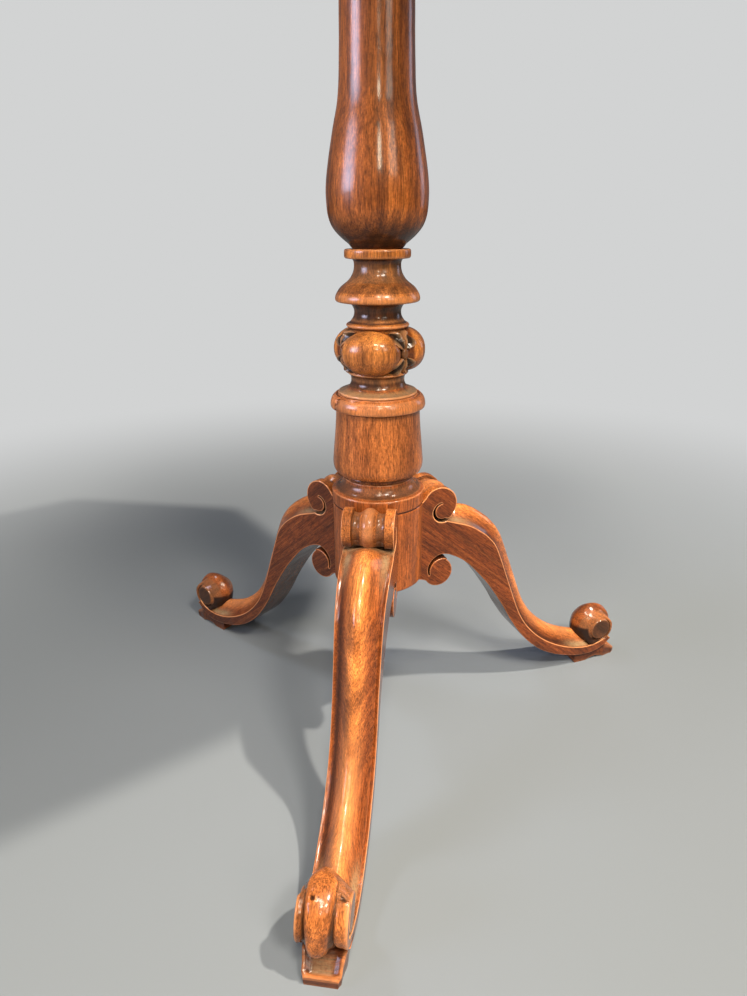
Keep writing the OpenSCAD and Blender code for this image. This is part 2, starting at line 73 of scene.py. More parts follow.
# Matt pale paint: it shows the table's shadow softly, and runs into the pale
# sky about a metre away
floor_paint = bpy.data.materials.new("matt floor paint")
floor_paint.use_nodes = True
floor_paint.node_tree.nodes.clear()
ground = floor_paint.node_tree
seen = put(ground, "ShaderNodeLightPath")
spot = put(ground, "ShaderNodeTexCoord")
distance = put(ground, "ShaderNodeVectorMath", {0: spot.outputs["Object"]}, operation="LENGTH")
fade = put(ground, "ShaderNodeMapRange",
           {"Value": distance.outputs["Value"], "From Min": 0.35, "From Max": 1.3},
           interpolation_type="SMOOTHSTEP")
share = put(ground, "ShaderNodeMath",
            {0: seen.outputs["Is Camera Ray"], 1: fade.outputs[0]}, operation="MULTIPLY")
matt = put(ground, "ShaderNodeBsdfDiffuse", {"Color": paint("#7A8187")})
haze = put(ground, "ShaderNodeEmission", {"Color": sky_colour, "Strength": sky_strength})
paved = put(ground, "ShaderNodeMixShader", {0: share.outputs[0], 1: matt.outputs[0], 2: haze.outputs[0]})
put(ground, "ShaderNodeOutputMaterial", {"Surface": paved.outputs[0]})

floor_mesh = bpy.data.meshes.new("floor")
floor_reach = 40.0
floor_mesh.from_pydata(
    [(-floor_reach, -floor_reach, 0), (floor_reach, -floor_reach, 0),
     (floor_reach, floor_reach, 0), (-floor_reach, floor_reach, 0)],
    [], [(0, 1, 2, 3)])
floor_mesh.materials.append(floor_paint)
floor = bpy.data.objects.new("floor", floor_mesh)
bpy.context.collection.objects.link(floor)

sky = bpy.data.worlds.new("pale sky")
sky.use_nodes = True
sky.node_tree.nodes.clear()
path = put(sky.node_tree, "ShaderNodeLightPath")
even = put(sky.node_tree, "ShaderNodeBackground", {"Color": paint("#E8ECF0"), "Strength": 0.05})
mirrored = put(sky.node_tree, "ShaderNodeBackground", {"Color": paint("#C9CED6"), "Strength": 0.22})
pale = put(sky.node_tree, "ShaderNodeBackground", {"Color": sky_colour, "Strength": sky_strength})
near = put(sky.node_tree, "ShaderNodeMixShader",
           {0: path.outputs["Is Glossy Ray"], 1: even.outputs[0], 2: mirrored.outputs[0]})
far = put(sky.node_tree, "ShaderNodeMixShader",
          {0: path.outputs["Is Camera Ray"], 1: near.outputs[0], 2: pale.outputs[0]})
put(sky.node_tree, "ShaderNodeOutputWorld", {"Surface": far.outputs[0]})
bpy.context.scene.world = sky

camera_azimuth = -81.3
# Each lamp: degrees round from the camera's side, how far away and how high, how
# wide and tall, watts, tint, the height that it is aimed at, and its spread
lamps = {
    "key": (69, 2.1, 4.0, 0.14, 0.14, 214, "#FFF1DE", 0.1, 180),
    "left ceiling": (-112, 1.5, 2.5, 0.4, 0.4, 15, "#F2F6FF", 0.1, 180),
    "front ceiling": (30, 1.5, 1.85, 0.36, 0.3, 32, "#FFF3E4", 0.25, 180),
    "overhead": (6, 1.0, 2.1, 0.28, 0.28, 18, "#FFF2DC", 0.1, 180),
    "front": (4, 1.35, 1.9, 0.25, 0.22, 17, "#FFF0D8", 0.3, 180),
    "spotlight": (5, 1.6, 1.2, 0.2, 0.24, 6.8, "#FFEFD0", 0.4, 180),
    "soft front": (36, 2.2, 1.4, 0.7, 0.6, 12, "#FFEFDC", 0.45, 180),
    "window": (-68, 1.5, 0.9, 0.85, 0.8, 3.3, "#DDE0FF", 0.58, 45),
    "right window": (118, 1.6, 0.8, 0.4, 1.0, 0.2, "#DDE4FF", 0.5, 40),
}
for name, (turn, away, high, wide, tall, power, tint, aim, spread) in lamps.items():
    light = bpy.data.lights.new(name, "AREA")
    light.shape = "RECTANGLE"
    light.size = wide
    light.size_y = tall
    light.energy = power
    light.color = paint(tint)[:3]
    light.spread = math.radians(spread)
    holder = bpy.data.objects.new(name, light)
    bearing = math.radians(camera_azimuth + turn)
    holder.location = (away * math.cos(bearing), away * math.sin(bearing), high)
    down = Vector((0, 0, aim)) - holder.location
    holder.rotation_euler = down.to_track_quat("-Z", "Y").to_euler()
    bpy.context.collection.objects.link(holder)

camera_data = bpy.data.cameras.new("camera")
camera_data.sensor_fit = "VERTICAL"
camera_data.sensor_height = 36.0
focal_pixels = 665
frame_high = 996
camera_data.lens = camera_data.sensor_height * focal_pixels / frame_high
camera_data.clip_start = 0.02
camera = bpy.data.objects.new("camera", camera_data)
bpy.context.collection.objects.link(camera)
camera_pitch = math.radians(22.0)
camera_roll = math.radians(-0.3)
view = Vector((-0.158, 0.987, 0)).normalized() * math.cos(camera_pitch)
view.z = -math.sin(camera_pitch)
camera.location = (78.2 * mm, -513.1 * mm, 420 * mm)
camera.rotation_mode = "QUATERNION"
camera.rotation_quaternion = view.to_track_quat("-Z", "Y") @ Quaternion((0, 0, 1), camera_roll)
bpy.context.scene.camera = camera
bpy.context.scene.view_settings.view_transform = "Standard"


# The hub: a round block of walnut with a cove at its head and a line cut under
# its collar. It is turned between centres, like every round piece of the pillar,
# and the three legs are slid up into it.
def timber(name, pale, middle, deep, ink, rubbed, growth, figure, pore_share, ink_share,
           polish=0.9, along=None):
    """Open-grained wood: growth bands of a width in millimetres, dark streaks,
    short pores, and the marks that a piece carries: rubbed warm on its crowns,
    which is partly a painted sheen, pale on arrises and crests, partly a painted
    highlight, and black in its crevices, dirt and painted shade. The grain follows
    the piece's own board, or one of the axes."""
    material = bpy.data.materials.new(name)
    material.use_nodes = True
    tree = material.node_tree
    tree.nodes.clear()
    board = put(tree, "ShaderNodeAttribute", attribute_name="board").outputs["Vector"]
    if along is not None:
        place = put(tree, "ShaderNodeTexCoord").outputs["Object"]
        axes = put(tree, "ShaderNodeSeparateXYZ", {0: place}).outputs
        order = {i: axes[(along + i + 1) % 3] for i in range(3)}
        board = put(tree, "ShaderNodeCombineXYZ", order).outputs[0]
    # Slow wander of the grain, a few millimetres over a hand's breadth
    long_way = put(tree, "ShaderNodeVectorMath", {0: board, 1: (1.0, 1.0, 0.35)}, operation="MULTIPLY")
    wander = put(tree, "ShaderNodeTexNoise", {"Vector": long_way.outputs[0], "Scale": 17.0, "Detail": 1.0})
    bent = put(tree, "ShaderNodeVectorMath",
               {0: wander.outputs["Color"], 1: (0.006, 0.006, 0.0), 2: board},
               operation="MULTIPLY_ADD").outputs[0]
    # Growth bands round a pith that lies outside the piece
    pith = put(tree, "ShaderNodeVectorMath",
               {0: bent, 1: (1.0, 1.0, 0.02), 2: (0.033, 0.061, 0.0)}, operation="MULTIPLY_ADD")
    radius = put(tree, "ShaderNodeVectorMath", {0: pith.outputs[0]}, operation="LENGTH")
    count = put(tree, "ShaderNodeMath",
                {0: radius.outputs["Value"], 1: 1 / (growth * mm)}, operation="MULTIPLY")
    bands = put(tree, "ShaderNodeTexNoise",
                {"W": count.outputs[0], "Scale": 1.0, "Detail": 2.0, "Roughness": 0.65},
                noise_dimensions="1D").outputs[0]
    # Patterns in the board: the share of its length that each one reads, so that it
    # is drawn out along the grain, then its scale, detail and roughness
    patterns = {}
    for pattern, read, share, scale, detail, roughness in (
            # Fibres 0.9 mm apart and pores of about 0.6 by 5 mm, coarse enough to show
            ("fibre", bent, 0.05, 1100.0, 2.0, 0.5),
            ("pore", bent, 0.13, 1600.0, 1.0, 0.5),
            # Dark streaks 5 mm wide that run on for two hands' breadth
            ("streak", bent, 0.025, 190.0, 3.0, 0.6),
            # Clouds 12 by 90 mm in the old stain
            ("cloud", board, 0.13, 85.0, 4.0, 0.6),
            # Blotches 14 mm across and specks of 1.4 mm break up the wear and the polish
            ("blotch", board, 1.0, 70.0, 3.0, 0.5),
            ("speck", board, 1.0, 700.0, 2.0, 0.5),
            # Ripples 9 mm apart that the scraper leaves
            ("ripple", board, 1.0, 110.0, 1.0, 0.5)):
        drawn = put(tree, "ShaderNodeVectorMath", {0: read, 1: (1.0, 1.0, share)}, operation="MULTIPLY")
        patterns[pattern] = put(
            tree, "ShaderNodeTexNoise",
            {"Vector": drawn.outputs[0], "Scale": scale, "Detail": detail, "Roughness": roughness}).outputs[0]
    # How strong each effect is: the levels of its pattern between which it grows, and
    # its strength at the first and at the second
    levels = {}
    for effect, source, low, high, least, most in (
            ("late wood", bands, 0.52, 0.36, 0.0, figure),
            ("early wood", bands, 0.52, 0.7, 0.0, figure),
            ("fibres", patterns["fibre"], 0.3, 0.7, 0.58, 1.42),
            ("stain", patterns["cloud"], 0.32, 0.68, 0.62, 1.38),
            ("grit", patterns["speck"], 0.35, 0.65, 0.86, 1.14),
            ("streaks", patterns["streak"], 0.5, 0.66, 0.0, ink_share),
            ("pores", patterns["pore"], 0.53, 0.63, 0.0, pore_share),
            ("pits", patterns["pore"], 0.53, 0.63, 0.0, -0.8),
            ("polish", patterns["blotch"], 0.3, 0.7, 0.52 - 0.15 * polish, 0.68 - 0.15 * polish),
            ("rubbed", patterns["cloud"], 0.3, 0.6, 0.4, 0.9),
            ("dust", patterns["speck"], 0.32, 0.55, 0.45, 0.85),
            ("grime", patterns["blotch"], 0.1, 0.4, 0.45, 0.93),
            ("worn", patterns["blotch"], 0.28, 0.5, 0.45, 0.85)):
        levels[effect] = put(
            tree, "ShaderNodeMapRange",
            {"Value": source, "From Min": low, "From Max": high, "To Min": least, "To Max": most}).outputs[0]
    # Marks that the piece carries: rubbed on its crowns, which is partly a painted
    # sheen; dusty in the hollows; black in the crevices, dirt and painted shade; and
    # bare along the arrises and crests, partly a painted highlight
    for mark in ("rubbed", "dust", "grime", "worn"):
        carried = put(tree, "ShaderNodeAttribute", attribute_name=mark).outputs["Fac"]
        levels[mark] = put(tree, "ShaderNodeMath", {0: carried, 1: levels[mark]},
                           operation="MULTIPLY", use_clamp=True).outputs[0]
    # Colours laid one over another; an effect without a colour shades those under it
    # The near-black laid in crevices is painted shade as well as dirt; the pale laid on arrises and crests and
    # the rubbed colour are partly painted highlight and sheen
    colour = paint(middle)
    for effect, code in (
            ("late wood", deep), ("early wood", pale), ("rubbed", rubbed), ("fibres", None),
            ("stain", None), ("grit", None), ("streaks", ink), ("pores", ink),
            ("dust", "#96805E"), ("grime", "#160A05"), ("worn", "#DC9460")):
        if code:
            colour = put(tree, "ShaderNodeMix", {"Factor": levels[effect], 6: colour, 7: paint(code)},
                         data_type="RGBA").outputs[2]
        else:
            colour = put(tree, "ShaderNodeVectorMath", {0: colour, "Scale": levels[effect]},
                         operation="SCALE").outputs[0]
    dull = put(tree, "ShaderNodeMath", {0: levels["dust"], 1: levels["grime"]}, operation="ADD")
    rough = put(tree, "ShaderNodeMath",
                {0: dull.outputs[0], 1: 0.35, 2: levels["polish"]}, operation="MULTIPLY_ADD")
    hollow = put(tree, "ShaderNodeMath", {0: levels["pits"], 1: patterns["fibre"]}, operation="ADD")
    relief = put(tree, "ShaderNodeMath",
                 {0: patterns["ripple"], 1: 2.2, 2: hollow.outputs[0]}, operation="MULTIPLY_ADD")
    bump = put(tree, "ShaderNodeBump",
               {"Height": relief.outputs[0], "Strength": 0.35, "Distance": 0.15 * mm})
    surface = put(tree, "ShaderNodeBsdfPrincipled",
                  {"Base Color": colour, "Roughness": rough.outputs[0], "IOR": 1.5,
                   "Specular IOR Level": 0.15, "Coat Weight": polish, "Coat Roughness": 0.16,
                   "Coat IOR": 1.35, "Normal": bump.outputs[0]})
    put(tree, "ShaderNodeOutputMaterial", {"Surface": surface.outputs[0]})
    return material


# Red-brown walnut, planed and French polished: a warm middle tone with short
# dark pores, gone orange where it is rubbed and where a painted sheen lies
walnut = timber("polished walnut", pale="#A65C2A", middle="#88431B", deep="#622D11", ink="#240C04",
                rubbed="#D07C3C", growth=3.6, figure=0.35, pore_share=0.5, ink_share=0.2)


def bezel(centre, radius, start, stop, count):
    """Points of an arc in the plane of an outline, between two angles in degrees."""
    angles = [math.radians(start + (stop - start) * i / count) for i in range(count + 1)]
    return [(centre[0] + radius * math.cos(a), centre[1] + radius * math.sin(a)) for a in angles]


def flowing(points, steps):
    """Smooth curve through points, each a list of any number of values."""
    line = []
    for i in range(len(points) - 1):
        a, b, c, d = (points[min(max(i + k, 0), len(points) - 1)] for k in (-1, 0, 1, 2))
        for j in range(steps):
            t = j / steps
            line.append(tuple(
                0.5 * (2 * q + (r - p) * t + (2 * p - 5 * q + 4 * r - s) * t * t
                       + (3 * q - p - 3 * r + s) * t ** 3)
                for p, q, r, s in zip(a, b, c, d)))
    line.append(tuple(points[-1]))
    return line


def eased(value, low, high):
    """Smooth share from 0 at low to 1 at high."""
    t = min(max((value - low) / (high - low), 0), 1)
    return t * t * (3 - 2 * t)


def lathe_tree():
    """Geometry nodes that spin an outline round the pillar's axis and leave the
    slight waver of a hand-held gouge on it."""
    tree = bpy.data.node_groups.new("turned between centres", "GeometryNodeTree")
    face = tree.interface
    for socket, kind in (("Outline", "Geometry"), ("Faces round", "Int"), ("Waver", "Float"),
                         ("Seed", "Int"), ("Timber", "Material")):
        face.new_socket(socket, in_out="INPUT", socket_type="NodeSocket" + kind)
    face.new_socket("Turning", in_out="OUTPUT", socket_type="NodeSocketGeometry")
    given = put(tree, "NodeGroupInput")
    line = put(tree, "GeometryNodeMeshToCurve", {0: given.outputs["Outline"]})
    spindle = put(tree, "GeometryNodeCurvePrimitiveCircle",
                  {"Resolution": given.outputs["Faces round"], "Radius": 0.00001})
    upright = put(tree, "GeometryNodeSetCurveNormal", {"Curve": spindle.outputs[0]}, mode="Z_UP")
    spun = put(tree, "GeometryNodeCurveToMesh",
               {"Curve": upright.outputs[0], "Profile Curve": line.outputs[0]})
    welded = put(tree, "GeometryNodeMergeByDistance", {"Geometry": spun.outputs[0], "Distance": 0.00003})
    place = put(tree, "GeometryNodeInputPosition")
    shift = put(tree, "ShaderNodeMath", {0: given.outputs["Seed"], 1: 0.137}, operation="MULTIPLY")
    turned_place = put(tree, "ShaderNodeVectorMath",
                       {0: place.outputs[0], 1: (0.0, 0.0, 1.0), 2: place.outputs[0]},
                       operation="MULTIPLY_ADD")
    offset = put(tree, "ShaderNodeCombineXYZ", {"Z": shift.outputs[0]})
    board = put(tree, "ShaderNodeVectorMath", {0: place.outputs[0], 1: offset.outputs[0]}, operation="ADD")
    kept = put(tree, "GeometryNodeStoreNamedAttribute",
               {"Geometry": welded.outputs[0], "Name": "board", "Value": board.outputs[0]},
               data_type="FLOAT_VECTOR", domain="POINT")
    rough = put(tree, "ShaderNodeTexNoise",
                {"Vector": turned_place.outputs[0], "W": shift.outputs[0], "Scale": 38.0, "Detail": 2.0},
                noise_dimensions="4D")
    middle = put(tree, "ShaderNodeMath", {0: rough.outputs[0], 1: 0.5}, operation="SUBTRACT")
    amount = put(tree, "ShaderNodeMath",
                 {0: middle.outputs[0], 1: given.outputs["Waver"]}, operation="MULTIPLY")
    normal = put(tree, "GeometryNodeInputNormal")
    push = put(tree, "ShaderNodeVectorMath",
               {0: normal.outputs[0], "Scale": amount.outputs[0]}, operation="SCALE")
    moved = put(tree, "GeometryNodeSetPosition", {"Geometry": kept.outputs[0], "Offset": push.outputs[0]})
    smooth = put(tree, "GeometryNodeSetShadeSmooth", {"Geometry": moved.outputs[0]})
    real = put(tree, "GeometryNodeRealizeInstances", {"Geometry": smooth.outputs[0]})
    dressed = put(tree, "GeometryNodeSetMaterial",
                  {"Geometry": real.outputs[0], "Material": given.outputs["Timber"]})
    put(tree, "NodeGroupOutput", {0: dressed.outputs[0]})
    return tree


lathe = lathe_tree()


def settle(piece):
    """Bakes the piece's modifiers into a plain mesh."""
    seen = piece.evaluated_get(bpy.context.evaluated_depsgraph_get())
    baked = bpy.data.meshes.new_from_object(seen)
    piece.modifiers.clear()
    piece.data = baked
    return piece


def turned(name, outline, wood, seed, rubbed, spacing=0.8):
    """Turns a piece from an outline of radius and height in millimetres, listed
    from its foot to its head. Its arrises are worn, its coves and quirks are
    darkened with dirt and painted shade, and all but its coves carry a rubbed
    colour that is partly a painted sheen."""
    faces_round = 144
    waver = 0.25
    dense = []
    for (r0, z0), (r1, z1) in zip(outline, outline[1:]):
        parts = max(1, round(math.hypot(r1 - r0, z1 - z0) / spacing))
        dense += [(r0 + (r1 - r0) * k / parts, z0 + (z1 - z0) * k / parts) for k in range(parts)]
    dense.append(outline[-1])
    for _ in range(2):
        inner = [((a[0] + 2 * b[0] + c[0]) / 4, (a[1] + 2 * b[1] + c[1]) / 4)
                 for a, b, c in zip(dense, dense[1:], dense[2:])]
        dense = [dense[0]] + inner + [dense[-1]]
    bends = []
    for i, here in enumerate(dense):
        before, after = dense[max(i - 2, 0)], dense[min(i + 2, len(dense) - 1)]
        ins = (here[0] - before[0], here[1] - before[1])
        out = (after[0] - here[0], after[1] - here[1])
        bend = math.atan2(ins[0] * out[1] - ins[1] * out[0], ins[0] * out[0] + ins[1] * out[1])
        bends.append(math.degrees(bend))
    dense.reverse()
    bends.reverse()
    mesh = bpy.data.meshes.new(name)
    edges = [(i, i + 1) for i in range(len(dense) - 1)]
    mesh.from_pydata([(r * mm, -z * mm, 0) for r, z in dense], edges, [])
    # From the bend of the outline: pale wear on sharp arrises, dirt and painted shade in coves and quirks, the
    # rubbed colour with its painted sheen everywhere but in the coves, and dust in shallow hollows
    marks = {
        "worn": [min(max((b - 26) / 45, 0), 1) for b in bends],
        "grime": [max(min((-b - 22) / 45, 1), 0.72 * eased(b, -4, -12)) for b in bends],
        "rubbed": [rubbed if b > -12 else 0 for b in bends],
        "dust": [0.25 if -22 <= b < -4 else 0 for b in bends],
    }
    for mark, values in marks.items():
        mesh.attributes.new(mark, "FLOAT", "POINT").data.foreach_set("value", values)
    piece = bpy.data.objects.new(name, mesh)
    bpy.context.collection.objects.link(piece)
    spin = piece.modifiers.new("lathe", "NODES")
    spin.node_group = lathe
    sockets = {item.name: item.identifier for item in lathe.interface.items_tree if item.in_out == "INPUT"}
    spin[sockets["Faces round"]] = faces_round
    spin[sockets["Waver"]] = waver * mm
    spin[sockets["Seed"]] = seed
    spin[sockets["Timber"]] = wood
    return settle(piece)


hub_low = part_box("hub")[0].z / mm
hub_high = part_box("hub")[1].z / mm
hub_round = 38
hub_arris = hub_high - 10.5
collar_line = hub_arris - 11.5
hub_outline = (
    [(0, hub_low), (hub_round - 1.2, hub_low), (hub_round, hub_low + 1.2), (hub_round, collar_line - 0.7),
     (hub_round - 1.3, collar_line), (hub_round + 0.2, collar_line + 0.7), (hub_round + 0.3, hub_arris - 0.4),
     (hub_round - 0.7, hub_arris + 0.3)]
    + [(hub_round - 1.6 - 7.6 * math.sin(math.radians(a)),
        hub_arris + 0.6 + (hub_high - 0.8 - hub_arris) * (1 - math.cos(math.radians(a))))
       for a in range(10, 100, 10)]
    + [(28.4, hub_high), (0, hub_high)])
hub = turned("turned_hub", hub_outline, walnut, seed=1, rubbed=0.2)
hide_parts("hub")
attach(hub, "root")


# The legs: each is sawn from one walnut board, carved with a rounded rib along
# its upper edge, a reeded roll over its head, a hanging scroll under it and a
# rolled toe, and slid up into the hub on a dovetail tongue.
def swung(reach, aside, turn):
    """Place in plan at a reach from the pillar's axis, a distance aside of an azimuth."""
    return (reach * math.cos(turn) - aside * math.sin(turn), reach * math.sin(turn) + aside * math.cos(turn))


class Carving:
    """Points, faces and marks of a piece while it is being carved: wear, dust
    and dirt, and painted shade and highlights.
    """

    def __init__(self):
        self.places, self.boards, self.faces = [], [], []
        self.marks = {"worn": [], "rubbed": [], "grime": [], "dust": []}

    def point(self, place, board, **marks):
        """Adds a point with its place in the board that the piece is cut from."""
        self.places.append(Vector(place))
        self.boards.append(Vector(board))
        for mark, values in self.marks.items():
            values.append(marks.get(mark, 0.0))
        return len(self.places) - 1

    def skin(self, rows, closed=False, ring=False):
        """Faces between rows of points; a closed skin joins the last row to the first."""
        pairs = list(zip(rows, rows[1:])) + ([(rows[-1], rows[0])] if closed else [])
        for low, high in pairs:
            count = len(low)
            for j in range(count if ring else count - 1):
                k = (j + 1) % count
                self.faces.append((low[j], low[k], high[k], high[j]))

    def cap(self, end, section):
        """Closes the points round an end with faces, from their places on its plane."""
        for triple in tessellate_polygon([[Vector((a, b, 0)) for a, b in section]]):
            self.faces.append(tuple(end[k] for k in triple))

    def finish(self, name, material, turn=0.0):
        """Makes the object, swung round the pillar's axis, its doubles merged, its
        faces turned outwards and its arrises kept sharp."""
        sharp_from = math.radians(32)
        mesh = bpy.data.meshes.new(name)
        mesh.from_pydata([Vector((*swung(p.x, p.y, turn), p.z)) * mm for p in self.places], [], self.faces)
        for mark, values in self.marks.items():
            mesh.attributes.new(mark, "FLOAT", "POINT").data.foreach_set("value", values)
        flat = [c * mm for b in self.boards for c in b]
        mesh.attributes.new("board", "FLOAT_VECTOR", "POINT").data.foreach_set("vector", flat)
        worked = bmesh.new()
        worked.from_mesh(mesh)
        bmesh.ops.remove_doubles(worked, verts=worked.verts, dist=0.004 * mm)
        bmesh.ops.dissolve_degenerate(worked, edges=worked.edges, dist=0.002 * mm)
        bmesh.ops.recalc_face_normals(worked, faces=worked.faces)
        worked.to_mesh(mesh)
        worked.free()
        mesh.shade_smooth()
        mesh.set_sharp_from_angle(angle=sharp_from)
        mesh.materials.append(material)
        piece = bpy.data.objects.new(name, mesh)
        bpy.context.collection.objects.link(piece)
        return piece


# Sweep of a leg: reach and height of the upper arris, reach and height of the
# lower arris, half thickness, and height of the rib, in millimetres
sweep = flowing([
    (66, 185.3, 59, 156.3, 20.3, 11.0), (77, 181, 66, 152.5, 19.9, 12.6), (88, 174.2, 74, 147, 19.4, 13),
    (98, 166, 82, 139.5, 18.8, 13), (106.5, 155.5, 90, 130.5, 18.3, 13), (113.5, 140, 98.5, 120.5, 17.8, 13),
    (119.5, 124.5, 106, 110, 17.5, 13), (125.5, 109, 113, 99.5, 17.2, 13), (131, 94.5, 119.5, 89, 17.2, 13),
    (138, 78, 128, 74, 17.2, 13), (147, 63, 138.5, 58, 17.2, 13), (159, 49.5, 151, 43, 17.2, 13),
    (174, 37.5, 168, 28.5, 17.2, 13), (190, 28.7, 186, 19.2, 17.2, 13), (205, 23, 203, 13.6, 17.1, 13),
    (219, 20, 218, 10.8, 16.9, 11.7), (231, 20, 232, 11, 16.6, 7.8), (241, 22.3, 244, 15.4, 16.3, 3.2),
    (248, 27.5, 252.6, 22.6, 16.1, 0)], 7)
head_half = 20.3
head_roll = 15.6
head_centre = (48.3, 220.3 - head_roll)
head_eye = (51, 198.4)
low_roll = 13.2
low_centre = (61.7 - low_roll, 141)
low_eye = (51, 141.5)


def spiral(centre, start, stop, first, last, count):
    """Points round a centre from one angle and radius to another."""
    line = []
    for i in range(count + 1):
        angle = math.radians(start + (stop - start) * i / count)
        radius = first + (last - first) * i / count
        line.append((centre[0] + radius * math.cos(angle), centre[1] + radius * math.sin(angle)))
    return line


def leg_outline():
    """Closed side outline of a leg, clockwise from the hub's top: place, half
    thickness, reeding, rib, darkening (dirt, and painted shade in the scrolls and
    along the underside) and a name for its stretch."""
    rows = []

    def stretch(points, name, reed=(0, 0), rib=(0, 0), dirt=(0, 0), half=head_half):
        last = max(len(points) - 1, 1)
        for i, p in enumerate(points):
            t = i / last
            rows.append(dict(place=p, half=half, name=name, reed=reed[0] + (reed[1] - reed[0]) * t,
                             rib=rib[0] + (rib[1] - rib[0]) * t, dirt=dirt[0] + (dirt[1] - dirt[0]) * t))

    # The scrolls' eyes, throats, mouth and arch and the underside of the sweep are darkened: dirt, and painted
    # shade in these recesses and on the faces turned down
    stretch([(30, 205), (31.5, 209)], "top", reed=(1, 1))
    stretch(bezel(head_centre, head_roll, 152, -34, 70), "roll", reed=(1, 1), dirt=(0, 0.5))
    stretch(flowing([(61.0, 195.5), (59.0, 192.6), (56.2, 191.2), (53.6, 191.4)], 5)[1:-1], "mouth",
            reed=(0.8, 0), dirt=(0.7, 1))
    stretch(spiral(head_eye, -70, -262, 7.0, 6.9, 40), "eye", dirt=(1, 1))
    stretch(bezel((50.1, 205.5), 0.42, -80, 110, 6), "eye_end", dirt=(1, 1))
    stretch(spiral(head_eye, -264, -64, 7.7, 10.4, 42), "throat", rib=(0, 1.5), dirt=(1, 0.35))
    stretch(flowing([(55.6, 189.1), (58.5, 187.9), (62, 186.7), (66, 185.3)], 4)[1:-1], "neck",
            rib=(3.5, 9.8), dirt=(0.35, 0.1))
    for s in sweep:
        rows.append(dict(place=(s[0], s[1]), half=s[4], name="upper", reed=0, rib=s[5], dirt=0))
    for s in reversed(sweep):
        rows.append(dict(place=(s[2], s[3]), half=s[4], name="lower", reed=0, rib=0, dirt=0.8))
    stretch(flowing([(59, 156.3), (55.2, 157.4), (51, 157.9)], 4)[1:], "arch", dirt=(0.6, 0.8))
    stretch(spiral(low_eye, 96, 190, 16.2, 11.5, 24), "low_throat", dirt=(0.8, 1))
    stretch(bezel((39.9, 139.4), 0.5, 170, 330, 5), "low_end", dirt=(1, 1))
    stretch(spiral(low_eye, 190, 62, 10.5, 12.6, 26), "low_eye", dirt=(1, 0.6))
    stretch(bezel(low_centre, low_roll, 58, -150, 50), "low_roll", dirt=(0.3, 0.4))
    stretch([(34, 135.8), (30, 137)], "foot_of_hub", dirt=(0.5, 0.5))
    return rows


# Shares of the half thickness at which the rim is carved, closer at the step beside
# the reeding
across = sorted([-1 + 2 * i / 34 for i in range(35)] + [s * q for s in (-1, 1) for q in (0.625, 0.665)])
# The reeding over a leg's head: the round of its middle bead, the middle and half
# width of the cove on either side, and the step that ends it
reed_round = 6.7
cove_middle = 9.3
cove_half = 3.6
reed_edge = 12.3


def along_board(reach, y, height):
    """Place in the board of a leg, whose grain runs straight from hub to toe."""
    return (y, reach * 0.65 + height * 0.76, reach * 0.76 - height * 0.65)


def rim_relief(row, y):
    """Height of the carving above the outline at a distance across the leg."""
    edge = abs(y) / row["half"]
    relief = 0.0
    if row["rib"]:
        crown = (1 + math.cos(math.pi * min(edge / 0.87, 1))) / 2
        quirk = 0.9 * math.exp(-((edge - 0.84) / 0.07) ** 2)
        relief += row["rib"] * crown - min(row["rib"] * 0.12, 1) * quirk
    if row["reed"]:
        away = abs(y)
        in_cove = (max(away, cove_middle - cove_half) - cove_middle) / cove_half
        cove = 2.5 + 1.7 * (1 - in_cove ** 2)
        bead = reed_round - math.sqrt(reed_round ** 2 - min(away, reed_round - 0.1) ** 2)
        valley = min(bead, cove) * eased(away, reed_edge + 0.7, reed_edge)
        relief -= row["reed"] * valley
    return relief


